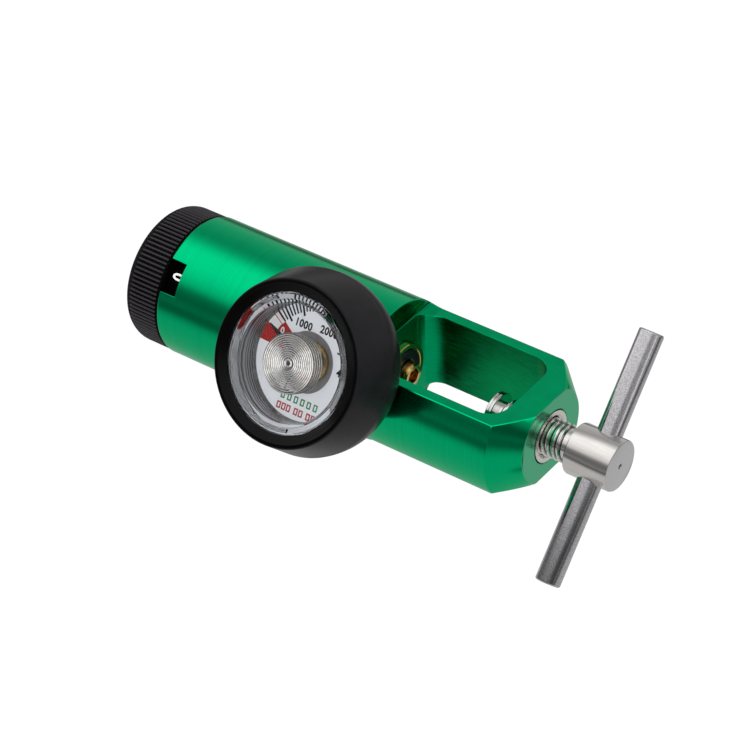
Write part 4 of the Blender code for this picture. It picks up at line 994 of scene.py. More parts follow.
    @staticmethod
    def turned(name: str, points_mm: Outline, steps: int, finish: Finish, matrix: Matrix, node: str) -> None:
        """A turned piece, by lathe, that takes the place of a node."""
        Hands.stands_for(Hands.lathe(name, points_mm, steps, finish, matrix), node)

    @staticmethod
    def extra(piece: bpy.types.Object, body: "Body", slot: str) -> None:
        """Puts an added piece on a body.

        Args:
            piece: the piece.
            body: the body.
            slot: not used.
        """
        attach(piece, body.value)
        log.info("%s rides on %s", piece.name, body.value)

    @staticmethod
    def text(name: str, words: str, height_mm: float, finish: Finish, matrix: Matrix, *, thick_mm: float,
             squeeze: float, bold: float, spread: float = 1.0) -> bpy.types.Object:
        """Printed figures, as a thin mesh centred in the XY plane of a frame.

        Args:
            name: the piece's name.
            words: the figures.
            height_mm: the height of a figure.
            finish: its ink.
            matrix: where it goes.
            thick_mm: thickness of the ink.
            squeeze: width as a share of the plain width.
            bold: extra weight of the strokes, as a share of the height.
            spread: distance between figures, as a share of the plain one.

        Returns:
            The piece.
        """
        Hands.clear()
        bpy.ops.object.text_add()
        letters = bpy.context.object.data
        letters.body = words
        letters.align_x = letters.align_y = "CENTER"
        letters.size = height_mm * MM / CAP_HEIGHT
        letters.offset = bold * height_mm * MM
        letters.extrude = thick_mm * MM / 2
        letters.resolution_u = 6
        letters.space_character = spread
        bpy.ops.object.convert(target="MESH")
        piece = Hands.named(name, finish)
        xs, ys = ([v.co[i] for v in piece.data.vertices] for i in range(2))
        centre = Vector(((min(xs) + max(xs)) / 2, (min(ys) + max(ys)) / 2, 0.0))
        squash = Matrix.Diagonal((squeeze, 1.0, 1.0, 1.0))
        piece.data.transform(squash @ Matrix.Translation(-centre))
        return Hands.settle(piece, matrix, None)

    @staticmethod
    def slabs(name: str, boxes: Iterable[Slab], finish: Finish, matrix: Matrix) -> bpy.types.Object:
        """Many thin bars as one piece, each added as a cube in edit mode and sized there.

        Args:
            name: the piece's name.
            boxes: each bar's own frame and its three sizes in millimetres.
            finish: the finish.
            matrix: the frame that they are all in.

        Returns:
            The piece.
        """
        Hands.clear()
        bpy.ops.mesh.primitive_cube_add(size=1.0)
        with Hands.editing():
            bpy.ops.mesh.delete(type="VERT")
            for place, sizes in boxes:
                spot, turn, _ = place.decompose()
                bpy.ops.mesh.primitive_cube_add(
                    size=1.0, location=spot, rotation=turn.to_euler(), scale=[side * MM for side in sizes])
        return Hands.settle(Hands.named(name, finish), matrix, None)

    @staticmethod
    def tube(name: str, points: Sequence[Vector], radius_mm: float, finish: Finish, matrix: Matrix) -> bpy.types.Object:
        """A round tube through points, made as a bevelled curve and turned into a mesh.

        Args:
            name: the piece's name.
            points: its centre line.
            radius_mm: its radius.
            finish: its finish.
            matrix: the frame that it is in.

        Returns:
            The piece.
        """
        Hands.clear()
        bpy.ops.curve.primitive_nurbs_path_add()
        curve = bpy.context.object.data
        curve.splines.clear()
        spline = curve.splines.new("POLY")
        spline.points.add(len(points) - 1)
        for point, place in zip(spline.points, points):
            point.co = (*place, 1.0)
        curve.bevel_depth = radius_mm * MM
        curve.bevel_resolution = 3
        curve.use_fill_caps = True
        bpy.ops.object.convert(target="MESH")
        return Hands.settle(Hands.named(name, finish), matrix, 40.0)


# Sub-assemblies


class Body(Enum):
    """The moving bodies that added pieces ride on."""

    REGULATOR = "regulator"
    SELECTOR = "flow_selector"
    SCREW = "clamp_screw"


class CadDress:
    """Gives every piece that comes from the model its finish."""

    def build(self) -> None:
        """Assigns the finishes."""
        for name, finish in NODE_FINISHES.items():
            node = frame["nodes"][name]
            node.data.materials.clear()
            node.data.materials.append(finish.material())
            log.info("dressed %s", name)


@dataclass
class Yoke:
    """The turned and milled bar, with rounder turning than the model's."""

    radius: float = 19.05
    rim_x: float = -65.7
    chamfer: float = 0.35
    cone_x: float = 37.2
    end_x: float = 44.1
    end_radius: float = 12.45
    bores: tuple[tuple[float, float], ...] = (
        (45.1, 0.0), (45.1, 7.2), (43.0, 7.2), (43.0, 6.22), (17.3, 6.22), (17.3, 3.52), (-9.0, 3.52), (-9.0, 1.5),
        (-15.2, 1.5), (-15.2, 2.2), (-13.6, 3.0), (-13.6, 5.6), (-24.0, 5.6), (-24.0, 14.0), (-42.0, 14.0),
        (-42.0, 16.0), (-57.0, 16.0), (-57.0, 17.5), (-66.7, 17.5), (-66.7, 0.0))
    flat: float = 10.75
    fillet: float = 3.2
    scoop_x: float = -2.25
    slot: tuple[float, float, float, float] = (-1.9, 36.55, 12.85, 5.6)
    window_length: float = 5.0
    window_width: float = 8.86
    window_depth: float = 5.1
    window_angle: float = 40.5
    port: tuple[float, float] = (5.0, 9.2)
    passage: tuple[float, float, float] = (0.9, 0.75, 9.5)
    outlet_x: float = -50.0
    outlet: tuple[float, float] = (3.72, 14.0)
    vent_x: float = -28.9
    vent_angle: float = 184.0
    vent: tuple[float, float] = (0.8, 8.4)
    pins: tuple[tuple[float, float], ...] = ((-4.42, -13.6), (4.42, -13.6))
    pin_hole: tuple[float, float, float] = (2.1, -9.05, 18.3)
    broken_edge: float = 0.17
    steps: int = 144

    def build(self) -> None:
        """Turns the bar and mills it."""
        axis = Frame.axis()
        outside = [
            (self.end_x, 0.0), (self.end_x, self.end_radius), (self.cone_x, self.radius),
            (self.rim_x + self.chamfer, self.radius), (self.rim_x, self.radius - self.chamfer), (self.rim_x, 0.0),
        ]
        body = Hands.lathe("yoke_body", outside, self.steps, GREEN, axis)
        Hands.cut(body, Hands.lathe("bores", list(self.bores), 96, GREEN, axis))
        for cutter in (*self.flats(), self.slot_cutter(), self.window(), *self.holes()):
            Hands.cut(body, cutter)
        Hands.break_edges(body, self.broken_edge)
        Hands.settle(body, None, 28.0)
        Hands.stands_for(body, "body_yoke")

    def flats(self) -> list[bpy.types.Object]:
        """The flats above and below the yoke, each running up a fillet behind the seal.

        Returns:
            Their two cutters.
        """
        reach = self.radius * 1.4
        points = [(self.scoop_x, reach)]
        points += arc(self.scoop_x + self.fillet, self.flat + self.fillet, self.fillet, 180, 270, 16)
        points += [(self.end_x + reach, self.flat), (self.end_x + reach, reach)]
        return [Hands.prism([(x, side * z) for x, z in points], 2 * reach, turn_by(90, "X")) for side in (1, -1)]

    def slot_cutter(self) -> bpy.types.Object:
        """The slot that takes the valve's post.

        Returns:
            Its cutter.
        """
        left, right, half, corner = self.slot
        points: Outline = []
        for x, side, start in ((right, 1, 0), (left, 1, 90), (left, -1, 180), (right, -1, 270)):
            points += arc(x + (corner if x == left else -corner), side * (half - corner), corner, start, start + 90, 14)
        return Hands.prism(points, 4 * self.radius, Matrix.Identity(4))

    def window(self) -> bpy.types.Object:
        """The reading window in the rim.

        Returns:
            Its cutter.
        """
        half = self.window_width / 2
        left, right = self.rim_x - self.window_length, self.rim_x + self.window_length
        place = turn_by(-self.window_angle, "X") @ shift(0, -self.radius) @ turn_by(90, "X")
        return Hands.prism([(left, -half), (right, -half), (right, half), (left, half)], self.window_depth, place)

    def holes(self) -> list[bpy.types.Object]:
        """The gauge's port and its passage, the outlet's hole, the spring's vent and the two pins' holes.

        Returns:
            Their cutters.
        """
        far = 2 * self.radius
        away = shift(self.outlet_x) @ turn_by(180, "X") @ shift(-Frame.GAUGE_X_MM) @ Frame.gauge()
        return [
            Hands.rod(*self.port, far, Frame.gauge()),
            Hands.rod(*self.passage, Frame.gauge(), 20),
            Hands.rod(*self.outlet, far, away),
            Hands.rod(*self.vent, far, shift(self.vent_x) @ turn_by(self.vent_angle, "X"), 24),
            *(Hands.rod(*self.pin_hole, shift(0, y, z) @ Frame.axis(), 32) for y, z in self.pins),
        ]


@dataclass
class Knob:
    """The ridged knob."""

    face_x: float = -66.05
    end_x: float = -77.9
    radius: float = 18.85
    edge: float = 4.2
    ridges: int = 96
    groove: float = 0.7
    lip: float = 0.3
    columns: int = 4
    inside: tuple[tuple[float, float], ...] = (
        (-77.9, 3.65), (-76.4, 3.65), (-76.4, 1.32), (-74.9, 1.32), (-74.9, 2.62), (-66.05, 2.62),
        (-66.05, 5.0), (-72.95, 5.0), (-72.95, 15.72), (-66.05, 15.72))

    def build(self) -> None:
        """Turns the knob and cuts its grooves."""
        outside = [(self.face_x, self.radius - self.lip), (self.face_x - self.lip, self.radius)]
        outside += arc(self.end_x + self.edge, self.radius - self.edge, self.edge, 90, 180, 10)
        profile = outside + list(self.inside) + outside[:1]
        knob = Hands.lathe("knob_ridged", profile, self.ridges * self.columns, BLACK, Matrix.Identity(4), None)
        self.cut_grooves(knob)
        Hands.settle(knob, Frame.axis(), 30.0)
        Hands.stands_for(knob, "flow_knob")

    def cut_grooves(self, knob: bpy.types.Object) -> None:
        """Presses half of the lengthwise rows in to the grooves' floor, row by row.

        Args:
            knob: the turned knob.
        """
        floor = self.radius - self.groove
        pitch = math.tau / (self.ridges * self.columns)
        rows: dict[float, list[int]] = {}
        for vertex in knob.data.vertices:
            radius = math.hypot(vertex.co.x, vertex.co.y) / MM
            column = round(math.atan2(vertex.co.y, vertex.co.x) / pitch) % self.columns
            if radius > floor + 0.01 and column >= self.columns // 2:
                rows.setdefault(round(radius, 3), []).append(vertex.index)
        for radius, indices in rows.items():
            Hands.pick(knob)
            for element in (*knob.data.vertices, *knob.data.edges, *knob.data.polygons):
                element.select = False
            for index in indices:
                knob.data.vertices[index].select = True
            bpy.ops.object.mode_set(mode="EDIT")
            bpy.ops.mesh.select_mode(type="VERT")
            share = floor / radius
            bpy.ops.transform.resize(value=(share, share, 1), center_override=(0, 0, 0))
            bpy.ops.object.mode_set(mode="OBJECT")


@dataclass
class Gauge:
    """The gauge's boot and lens."""

    front: float = 40.0
    front_radius: float = 21.0
    rim_round: float = 0.6
    rim_width: float = 1.2
    rim_slope: tuple[float, float] = (0.25, 0.35)
    lip_depth: float = 0.7
    lip_edge: float = 0.1
    lip_radius: float = 17.5
    widest: float = 29.2
    widest_radius: float = 23.6
    rear: float = 19.9
    rear_radius: float = 19.3
    rear_wall: float = 1.7
    pocket: float = 19.15
    stem_hole: float = 7.5
    case_top: float = 38.0
    lens_edge: float = 38.9
    lens_crown: float = 0.9
    lens_thick: float = 1.1
    sight: float = 17.25
    shoulder_drop: float = 1.2
    skirt_outer: float = 17.7
    skirt_inner: float = 14.8
    skirt_end: float = 30.1
    ring: float = 15.6
    ring_groove: tuple[tuple[float, float], ...] = ((0.02, 0.1), (0.02, 0.35), (0.1, 0.5))
    rim_fall: tuple[tuple[float, float], ...] = ((0.06, -0.3), (-0.2, 0.0))
    steps: int = 128

    def build(self) -> None:
        """Makes the boot and the lens."""
        Hands.turned("boot_moulded", self.boot_profile(), self.steps, RUBBER, Frame.gauge(), "gauge_boot")
        Hands.turned("lens_moulded", self.lens_profile(), self.steps, LENS, Frame.gauge(), "gauge_lens")

    def boot_profile(self) -> Outline:
        """The boot with its rounded rim, its full back and the pocket for the case.

        Returns:
            The closed profile.
        """
        rim = arc(self.front - self.rim_round, self.front_radius - self.rim_round, self.rim_round, 0, 90, 5)
        drop = self.widest_radius - self.rear_radius
        depth = self.widest - self.rear
        back = [(self.widest - depth * math.sin(t), self.rear_radius + drop * math.cos(t))
                for t in (math.pi / 2 * i / 12 for i in range(13))]
        inner = self.rear + self.rear_wall
        lip = self.front - self.lip_depth
        down, across = self.rim_slope
        mouth = self.front_radius - self.rim_width
        inside = [
            (self.rear, self.stem_hole), (inner, self.stem_hole), (inner, self.pocket), (self.case_top, self.pocket),
            (self.case_top, self.lip_radius), (lip - self.lip_edge, self.lip_radius),
            (lip, self.lip_radius + self.lip_edge), (self.front - down, mouth - across), (self.front, mouth),
        ]
        return rim + back + inside + rim[:1]

    def lens_profile(self) -> Outline:
        """The lens with its crown, shoulder and skirt.

        Returns:
            The profile, from axis to axis.
        """
        shares = [i / 8 for i in range(9)]
        crown = self.lens_edge + self.lens_crown
        dome = [(crown - self.lens_crown * (s * self.ring / self.sight) ** 2, self.ring * s) for s in shares]
        dome += [(self.lens_edge + up, self.ring + out) for up, out in self.ring_groove]
        dome += [(self.lens_edge + up, self.sight + out) for up, out in self.rim_fall]
        under = [(self.lens_edge - self.lens_thick + self.lens_crown * (1 - s * s), self.skirt_inner * s)
                 for s in reversed(shares)]
        shoulder = self.lens_edge - self.shoulder_drop
        skirt = [(shoulder, self.sight), (shoulder, self.skirt_outer), (self.skirt_end, self.skirt_outer),
                 (self.skirt_end, self.skirt_inner)]
        return dome + skirt + under


@dataclass
class Inlet:
    """The seal's brass rim and rubber, and the nozzle with its hexagon socket."""

    wall: float = -1.6
    rim_radius: float = 7.98
    rim_inner: float = 6.58
    rim_edge: float = 0.14
    rubber: tuple[float, float] = (3.65, 6.33)
    rubber_edge: tuple[float, float] = (0.2, 0.3)
    proud: float = 0.22
    nozzle_radius: float = 3.4
    nozzle_edge: float = 0.4
    nozzle_reach: float = 2.55
    nozzle_end: float = -8.7
    filter_bore: float = 2.12
    filter_x: float = -4.9
    gas_bore: float = 1.2
    hexagon: float = 4.0
    hexagon_depth: float = 3.4

    def build(self) -> None:
        """Turns the three pieces."""
        axis = Frame.axis()
        edge = self.rim_edge
        rim = [(0.0, self.rim_radius - edge), (-edge, self.rim_radius), (self.wall, self.rim_radius),
               (self.wall, self.rim_inner), (-edge, self.rim_inner), (0.0, self.rim_inner + edge)]
        Hands.turned("seal_rim_turned", rim + rim[:1], 96, BRASS, axis, "seal_rim")
        inner, outer = self.rubber
        down, across = self.rubber_edge
        ring = [(self.proud, outer - across), (self.proud - down, outer), (self.wall, outer), (self.wall, inner),
                (self.proud - down, inner), (self.proud, inner + across)]
        Hands.turned("seal_rubber_moulded", ring + ring[:1], 96, SEAL, axis, "seal_rubber")
        edge = self.nozzle_edge
        tube = [
            (self.nozzle_reach, self.nozzle_radius - edge), (self.nozzle_reach - edge, self.nozzle_radius),
            (self.nozzle_end, self.nozzle_radius), (self.nozzle_end, self.filter_bore),
            (self.filter_x, self.filter_bore), (self.filter_x, self.gas_bore), (self.nozzle_reach, self.gas_bore),
        ]
        nozzle = Hands.lathe("nozzle_turned", tube + tube[:1], 72, BRASS, axis)
        outline = arc(0, 0, self.hexagon / math.sqrt(3), 0, 300, 5)
        Hands.cut(nozzle, Hands.prism(outline, 2 * self.hexagon_depth, Frame.axis(self.nozzle_reach)))
        Hands.settle(nozzle, None, 28.0)
        Hands.stands_for(nozzle, "inlet_nozzle")


@dataclass
class TeeHandle:
    """The sliding bar of the clamp screw."""

    radius: float = 3.25
    half: float = 33.1
    chamfer: float = 0.5
    x: float = 58.2
    angle: float = 47.4

    def build(self) -> None:
        """Turns the bar."""
        end = arc(self.half - self.chamfer, self.radius - self.chamfer, self.chamfer, 0, 90, 4)
        profile = [(self.half, 0.0), *end, *[(-x, r) for x, r in reversed(end)], (-self.half, 0.0)]
        Hands.turned("tee_bar_ground", profile, 64, BAR, shift(self.x) @ turn_by(self.angle - 90, "X"), "tee_bar")


@dataclass
class SmoothedNodes:
    """Round pieces carried over from the model, merged and shaded round."""

    names: tuple[str, ...] = (
        "gauge_case", "gauge_socket", "gauge_dial", "dial_drum", "knob_screw", "outlet_barb", "thread_insert")

    def build(self) -> None:
        """Copies, merges and shades each."""
        for name in self.names:
            piece = bpy.data.objects.new(f"{name}_round", frame["nodes"][name].data.copy())
            bpy.context.scene.collection.objects.link(piece)
            Hands.pick(piece)
            with Hands.editing():
                bpy.ops.mesh.remove_doubles(threshold=WELD)
            Hands.named(f"{name}_round", NODE_FINISHES[name])
            Hands.settle(piece, None, 35.0)
            Hands.stands_for(piece, name)


@dataclass
class ClampScrew:
    """The clamp screw with its cut thread, in place of the model's plain shank."""

    tip_x: float = 31.0
    tip_edge: tuple[float, float] = (0.2, 0.3)
    hub_x: float = 51.6
    hub_length: float = 12.5
    hub_radius: float = 6.75
    hub_front: tuple[tuple[float, float], ...] = ((0.0, 0.42), (0.1, 0.18), (0.45, 0.0))
    hub_back: tuple[tuple[float, float], ...] = ((0.45, 0.0), (0.12, 0.12), (0.0, 0.45))
    crest: float = 4.95
    crest_half: float = 0.11
    root: float = 4.2
    root_gap: float = 0.06
    root_sink: float = 0.2
    relief: tuple[float, float] = (0.9, 0.1)
    pitch: float = 1.5
    pilot: float = 2.1
    pilot_x: float = 28.55
    dimple: tuple[float, float] = (0.5, 0.75)
    steps: int = 96

    def build(self) -> None:
        """Turns the screw and cuts its thread."""
        face = self.hub_x + self.hub_length
        length, depth = self.relief
        relief = self.hub_x - length
        sink, radius = self.dimple
        slope, drop = self.tip_edge
        profile = [(face - sink * math.cos(t), radius * math.sin(t)) for t in (math.pi / 12 * i for i in range(7))]
        profile += [(face - back, self.hub_radius - cut) for back, cut in self.hub_front]
        profile += [(self.hub_x + ahead, self.hub_radius - cut) for ahead, cut in self.hub_back]
        profile += [
            (self.hub_x, self.root - depth), (relief, self.root - depth), (relief, self.root),
            (self.tip_x + slope, self.root), (self.tip_x, self.root - drop), (self.tip_x, self.pilot),
            (self.pilot_x, self.pilot), (self.pilot_x, 0.0),
        ]
        screw = Hands.lathe("clamp_screw_turned", profile, self.steps, HUB, Frame.axis())
        thread = self.thread(relief)
        Hands.stands_for(screw, "clamp_screw")
        Hands.extra(thread, Body.SCREW, "stainless_steel")

    def thread(self, end: float) -> bpy.types.Object:
        """Winds the thread's ridge round the shank.

        Args:
            end: where the ridge runs out under the hub.

        Returns:
            The ridge.
        """
        half = self.pitch / 2
        flank = half - self.root_gap
        start = self.tip_x + half
        foot = self.root - self.root_sink
        tooth = [(start - flank, foot), (start - self.crest_half, self.crest), (start + self.crest_half, self.crest),
                 (start + flank, foot)]
        Hands.spin(tooth + tooth[:1], self.steps // 2, self.pitch, int((end - start - half) / self.pitch))
        with Hands.editing():
            bpy.ops.mesh.remove_doubles(threshold=2 * WELD)
            bpy.ops.mesh.select_all(action="DESELECT")
            bpy.ops.mesh.select_non_manifold()
            bpy.ops.mesh.edge_face_add()
            Hands.face_out()
        return Hands.settle(Hands.named("clamp_screw_thread", THREAD), Frame.axis(), 25.0)


@dataclass
class DialPrint:
    """The dial's printed scale: ticks, figures, the empty sector and the full mark."""

    face: float = 29.8
    ink: float = 0.05
    tick_lift: float = 0.03
    centre: tuple[float, float] = (1.5, 0.3)
    zero: float = 157.6
    per_hundred: float = -3.9
    edge: float = 16.7
    minor: tuple[float, float] = (12.8, 0.42)
    major: tuple[float, float] = (11.8, 0.54)
    first_mark: int = 300
    last_mark: int = 4000
    majors: tuple[int, ...] = (500, 1000, 2000, 3000)
    marks_in_red: tuple[int, ...] = (200, 246)
    figure_height: float = 1.9
    figures: tuple[tuple[int, float, float], ...] = (
        (1000, -3.6, 8.7), (2000, 3.8, 9.35), (3000, 10.3, 6.05), (4000, 11.7, 0.8))
    zero_figure: tuple[int, float, float] = (0, -9.25, 5.05)
    zero_height: float = 1.7
    squeeze: float = 0.88
    bold: float = 0.045
    spread: float = 1.1
    sectors: tuple[tuple[str, Finish, float, float, float, float], ...] = (
        ("dial_empty_sector", INK_RED, 146.3, 177.5, 8.9, -0.004),
        ("dial_empty_block", INK_WHITE, 151.6, 160.6, 13.0, 0.02),
        ("dial_full_mark", INK_GREEN, 69.5, 80.5, 12.9, 0.03))
    upper_row: tuple[float, ...] = (-3.84, -1.84, 0.16, 2.16, 4.16, 6.16)
    upper_y: float = -9.9
    lower_row: tuple[float, ...] = (-4.3, -2.8, -1.3, 1.0, 2.5, 4.8, 6.3)
    lower_y: float = -12.7
    cell: tuple[float, float, float] = (1.2, 1.8, 0.33)

    def angle(self, value: float) -> float:
        """The angle of a pressure on the scale, in degrees from the dial's right."""
        return self.zero + self.per_hundred * value / 100

    def out_to(self, degrees: float) -> float:
        """Distance from the scale's centre to the print's outer edge, which is round the dial's own axis.

        Args:
            degrees: the direction.

        Returns:
            The distance.
        """
        a = math.radians(degrees)
        cx, cy = self.centre
        along = cx * math.cos(a) + cy * math.sin(a)
        return -along + math.sqrt(along * along + self.edge ** 2 - cx * cx - cy * cy)

    def plane(self, lift: float = 0.0) -> Matrix:
        """The frame at the scale's centre."""
        return Frame.gauge(self.face + lift) @ shift(*self.centre)

    def build(self) -> None:
        """Prints the dial."""
        gauge = self.plane(self.ink / 2)
        marks = range(self.first_mark, self.last_mark + 1, 100)
        parts = [
            Hands.slabs("dial_ticks", [self.tick(value) for value in marks], INK_BLACK, gauge),
            Hands.slabs("dial_ticks_in_red", [self.tick(value) for value in self.marks_in_red], INK_WHITE, gauge),
        ]
        parts += [self.figure(figure, self.figure_height, INK_BLACK) for figure in self.figures]
        parts.append(self.figure(self.zero_figure, self.zero_height, INK_WHITE))
        parts += [self.sector(*sector) for sector in self.sectors]
        plain = Frame.gauge(self.face + self.ink / 2)
        parts.append(Hands.slabs("dial_bar_green", self.cells(self.upper_row, self.upper_y), INK_GREEN, plain))
        parts.append(Hands.slabs("dial_bar_red", self.cells(self.lower_row, self.lower_y), INK_RED, plain))
        for part in parts:
            Hands.extra(part, Body.REGULATOR, "white_dial")

    def tick(self, value: int) -> Slab:
        """One mark of the scale.

        Args:
            value: the pressure that it marks.

        Returns:
            Its own frame and its three sizes.
        """
        inner, width = self.major if value in self.majors else self.minor
        degrees = self.angle(value)
        outer = self.out_to(degrees)
        place = turn_by(degrees, "Z") @ shift((outer + inner) / 2, 0, self.tick_lift)
        return place, (outer - inner, width, self.ink)

    def figure(self, figure: tuple[int, float, float], height: float, ink: Finish) -> bpy.types.Object:
        """One number of the scale.

        Args:
            figure: the number, and its middle from the dial's axis.
            height: the height of its figures.
            ink: its ink.

        Returns:
            The printed number.
        """
        value, x, y = figure
        matrix = Frame.gauge(self.face) @ shift(x, y, self.ink)
        return Hands.text(f"dial_figure_{value}", str(value), height, ink, matrix, thick_mm=self.ink,
                          squeeze=self.squeeze, bold=self.bold, spread=self.spread)

    def sector(self, name: str, ink: Finish, first: float, last: float, inner: float, lift: float) -> bpy.types.Object:
        """A printed sector of a ring.

        Args:
            name: the piece's name.
            ink: its ink.
            first: its first angle.
            last: its last angle.
            inner: its inner radius.
            lift: its height over the other print.

        Returns:
            The sector.
        """
        Hands.clear()
        bpy.ops.mesh.primitive_plane_add(size=1.0)
        piece = bpy.context.object
        with Hands.editing():
            bpy.ops.mesh.subdivide(number_cuts=11)
        for vertex in piece.data.vertices:
            degrees = last + (first - last) * (vertex.co.x + 0.5)
            vertex.co = polar(inner + (self.out_to(degrees) - inner) * (vertex.co.y + 0.5), degrees)
        with Hands.editing():
            bpy.ops.mesh.extrude_region_move(TRANSFORM_OT_translate={"value": (0, 0, (self.ink + lift) * MM)})
            Hands.face_out()
        return Hands.settle(Hands.named(name, ink), self.plane(), None)

    def cells(self, row: Sequence[float], y: float) -> list[Slab]:
        """A row of plain frames low on the dial, where such dials carry small print.

        Args:
            row: the middle of each frame across the dial.
            y: their height on it.

        Returns:
            The four strokes of each frame.
        """
        wide, tall, stroke = self.cell
        strokes: list[Slab] = []
        for x in row:
            strokes += [(shift(x + side * (wide - stroke) / 2, y), (stroke, tall, self.ink)) for side in (-1, 1)]
            strokes += [(shift(x, y + side * (tall - stroke) / 2), (wide - 2 * stroke, stroke, self.ink))
                        for side in (-1, 1)]
        return strokes


@dataclass
class Needle:
    """The tapered needle and its boss."""

    plane: float = 32.15
    thick: float = 0.3
    angle: float = 152.5
    reach: float = 13.3
    taper: float = 3.6
    boss: float = 1.9
    gap: float = 22.0
    bore: float = 0.62
    root: float = 0.62
    tip: float = 0.1

    def build(self) -> None:
        """Cuts the needle out of sheet."""
        outline = arc(0, 0, self.boss, self.gap, 360 - self.gap, 18)
        outline += [(self.reach - self.taper, -self.root), (self.reach, -self.tip), (self.reach, self.tip),
                    (self.reach - self.taper, self.root)]
        needle = Hands.prism(outline, self.thick, Frame.gauge(self.plane) @ turn_by(self.angle, "Z"))
        Hands.cut(needle, Hands.rod(self.bore, self.plane - 2, self.plane + 2, Frame.gauge(), 24))
        Hands.named("needle", POINTER)
        Hands.stands_for(needle, "gauge_pointer")


@dataclass
class CoiledTube:
    """The gauge's coiled tube, drawn finer than the model's."""

    tube: float = 0.21
    radius: float = 7.35
    pitch: float = 1.0
    stack_turns: int = 4
    face_turns: int = 11
    face_inner: float = 1.45
    front: float = 38.2
    start_angle: float = -100.0
    feed_radius: float = 3.9
    feed_from: float = 28.9
    feed_turn: float = 28.6
    feed_steps: int = 20
    steps: int = 48

    def build(self) -> None:
        """Winds the coil: the feed up from the socket, the stack, and the flat spiral in front."""
        stack_start = self.front - self.pitch * self.stack_turns
        points: list[Vector] = []
        for i in range(self.feed_steps):
            share = i / self.feed_steps
            ease = share * share * (3 - 2 * share)
            radius = self.feed_radius + (self.radius - self.feed_radius) * ease
            angle = self.start_angle - self.feed_turn * (1 - share)
            points.append(polar(radius, angle, self.feed_from + (stack_start - self.feed_from) * share))
        for i in range(self.stack_turns * self.steps):
            share = i / self.steps
            points.append(polar(self.radius, self.start_angle + 360 * share, stack_start + self.pitch * share))
        flat = self.face_turns * self.steps
        for i in range(flat + 1):
            radius = self.radius + (self.face_inner - self.radius) * i / flat
            points.append(polar(radius, self.start_angle + 360 * i / self.steps, self.front))
        coil = Hands.tube("bourdon_coil_fine", points, self.tube, COIL, Frame.gauge())
        Hands.stands_for(coil, "bourdon_coil")


@dataclass
class Staff:
    """The staff that carries the needle, with its button in the middle of the coil."""

    radius: float = 0.55
    foot: float = 28.9
    top: float = 38.35
    button: tuple[tuple[float, float], ...] = (
        (0.3, 0.0), (0.24, 0.4), (0.08, 0.75), (0.0, 0.9), (0.15, 1.2), (0.7, 1.2))
    neck: float = 0.8

    def build(self) -> None:
        """Turns the staff."""
        profile = [(self.top - down, radius) for down, radius in self.button]
        profile += [(self.top - self.neck, self.radius), (self.foot, self.radius), (self.foot, 0.0)]
        Hands.turned("pointer_staff_turned", profile, 48, COIL, Frame.gauge(), "pointer_staff")


@dataclass
class Foot:
    """The clamp's swivelling foot, with a groove round its edge."""

    face: float = 27.4
    radius: float = 5.55
    edge: float = 0.18
    groove: tuple[float, float, float] = (28.08, 28.42, 5.15)
    rear: float = 29.1
    collar: float = 3.5
    collar_edge: float = 0.15
    end: float = 30.7
    socket: tuple[float, float] = (28.25, 2.35)

    def build(self) -> None:
        """Turns the foot."""
        near, far, depth = self.groove
        floor, bore = self.socket
        profile = [
            (floor, 0.0), (floor, bore), (self.end, bore), (self.end, self.collar - self.collar_edge),
            (self.end - self.collar_edge, self.collar), (self.rear, self.collar), (self.rear, self.radius - self.edge),
            (self.rear - self.edge, self.radius), (far, self.radius), (far, depth), (near, depth), (near, self.radius),
            (self.face + self.edge, self.radius), (self.face, self.radius - self.edge), (self.face, 0.0),
        ]
        Hands.turned("clamp_foot_turned", profile, 96, STEEL, Frame.axis(), "clamp_foot")


@dataclass
class DrumFigures:
    """White flow figures round the drum, one of them in the reading window."""

    radius: float = 17.1
    lift: float = 0.05
    x: float = -62.4
    window: float = 42.3
    height: float = 3.4
    ink: float = 0.02
    squeeze: float = 0.8
    bold: float = 0.035
    figures: tuple[str, ...] = ("0", "1/4", "1/2", "3/4", "1", "1.5", "2", "2.5", "3", "4", "6", "8")

    def build(self) -> None:
        """Prints each figure and wraps it round the drum."""
        for i, words in enumerate(self.figures):
            turn = math.radians(self.window + 360 / len(self.figures) * i)
            piece = Hands.text(f"drum_figure_{i}", words, self.height, INK_WHITE, Matrix.Identity(4),
                               thick_mm=self.ink, squeeze=self.squeeze, bold=self.bold)
            for vertex in piece.data.vertices:
                across, up, out = vertex.co
                angle = turn + across / (self.radius * MM)
                radius = (self.radius + self.lift) * MM + out
                vertex.co = (self.x * MM - up, -radius * math.cos(angle), radius * math.sin(angle))
            Hands.extra(piece, Body.SELECTOR, "black_numbered_drum")


# Studio


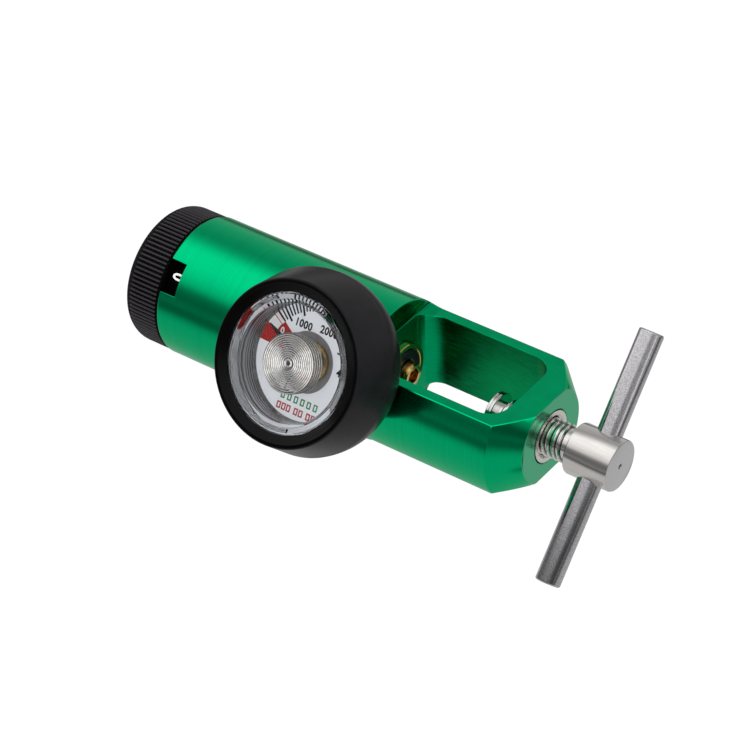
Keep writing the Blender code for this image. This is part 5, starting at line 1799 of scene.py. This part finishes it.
@dataclass
class Studio:
    """Camera, floor and the light from all round."""

    camera_at: tuple[float, float, float] = (348.909, -466.902, 463.581)
    azimuth: float = 37.521
    elevation: float = 38.519
    roll: float = -1.871
    lens: float = 141.869
    sensor: float = 36.0
    floor_z: float = -170.0
    floor_size: float = 6.0
    floor_pale: float = 0.88
    floor_seen: float = 1.02
    floor_mirrored: tuple[float, float, float, float] = (330.0, 850.0, 0.5, 0.13)
    room: tuple[tuple[float, float], ...] = (
        (-180, 0.5), (-150, 0.48), (-30, 0.5), (-16, 0.38), (0, 0.2), (13, 0.13), (26, 0.2), (38, 0.66),
        (50, 0.86), (68, 1.05), (92, 1.08), (102, 0.85), (112, 0.52), (124, 0.34), (150, 0.43), (180, 0.5))
    towards_camera: tuple[float, float, float] = (0.79, -0.42, 0.44)
    camera_gap: tuple[float, float, float, float] = (0.84, 0.98, 1.0, 0.42)
    soft: tuple[float, float] = (1.15, 0.35)

    def build(self) -> None:
        """Sets up the view and the light."""
        bpy.context.scene.view_settings.view_transform = "Standard"
        self.camera()
        self.world()
        self.floor()

    def camera(self) -> None:
        """Places the camera at the photograph's view."""
        data = bpy.data.cameras.new("view")
        data.sensor_width = self.sensor
        data.lens = self.lens
        data.clip_start = 0.01
        camera = bpy.data.objects.new("view", data)
        bpy.context.scene.collection.objects.link(camera)
        az, el, roll = (math.radians(a) for a in (self.azimuth, self.elevation, self.roll))
        back = Vector((math.sin(az) * math.cos(el), -math.cos(az) * math.cos(el), math.sin(el)))
        right = Vector((math.cos(az), math.sin(az), 0.0))
        tilted = right * math.cos(roll) + back.cross(right) * math.sin(roll)
        camera.matrix_world = basis(tilted, back.cross(tilted), back, Vector(self.camera_at) * MM)
        bpy.context.scene.camera = camera

    def world(self) -> None:
        """Lights the object from a pale room: a broad soft light above, a dim gap under it and a pale table."""
        world = bpy.data.worlds.new("room")
        bpy.context.scene.world = world
        graph = Graph(world)
        x, y, z = graph.parts(graph.add("ShaderNodeTexCoord", None, None, "Generated"))
        around = z.angle_from(y * -1.0) * (180 / math.pi)
        stops = [((a + 180) / 360, (v, v, v)) for a, v in self.room]
        level = graph.add("ShaderNodeValToRGB", {"stops": stops}, {0: (around + 180) / 360})
        to_x, to_y, to_z = self.towards_camera
        gap = (x * to_x + y * to_y + z * to_z).ramp(*self.camera_gap)
        level = graph.add("ShaderNodeVectorMath", {"operation": "SCALE"}, {"Vector": level, "Scale": gap})
        base, rise = self.soft
        soft = z * rise + base
        level = graph.blend(graph.ray("Diffuse"), level, graph.vector(soft, soft, soft))
        colour = graph.blend(graph.ray("Camera").most(graph.ray("Transmission")), level, (1.0, 1.0, 1.0))
        shade = graph.add("ShaderNodeBackground", None, {"Color": colour, "Strength": 1.0})
        graph.node("ShaderNodeOutputWorld", None, {0: shade})

    def floor(self) -> None:
        """Lays the pale floor, which keeps the object's shadow and is dimmer further out in reflections."""
        Hands.clear()
        bpy.ops.mesh.primitive_plane_add(size=self.floor_size, location=(0, 0, self.floor_z * MM))
        floor = bpy.context.object
        floor.name = "pale_floor"
        made = bpy.data.materials.new("pale_floor")
        graph = Graph(made)
        plain = graph.add("ShaderNodeBsdfDiffuse", None, {0: (self.floor_pale, self.floor_pale, self.floor_pale, 1.0)})
        mirrored = graph.ray("Glossy")
        _, x, y, _ = graph.place()
        strength = x.hypot(y).ramp(*self.floor_mirrored) * mirrored + (1 - mirrored) * self.floor_seen
        glow = graph.add("ShaderNodeEmission", None, {0: (1.0, 1.0, 1.0, 1.0), 1: strength})
        mixed = graph.mix((graph.ray("Camera") * 0.97).most(mirrored), plain, glow)
        graph.node("ShaderNodeOutputMaterial", None, {0: mixed})
        floor.data.materials.append(made)
        log.info("%s is laid", floor.name)


def main() -> None:
    """Builds and dresses every sub-assembly."""
    logging.basicConfig(level=logging.INFO, format="%(message)s")
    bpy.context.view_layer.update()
    for assembly in (
        CadDress(), Yoke(), Knob(), Gauge(), Inlet(), TeeHandle(), SmoothedNodes(), ClampScrew(), Foot(), Staff(),
        CoiledTube(), DialPrint(), Needle(), DrumFigures(), Studio(),
    ):
        assembly.build()


if __name__ == "__main__":
    main()
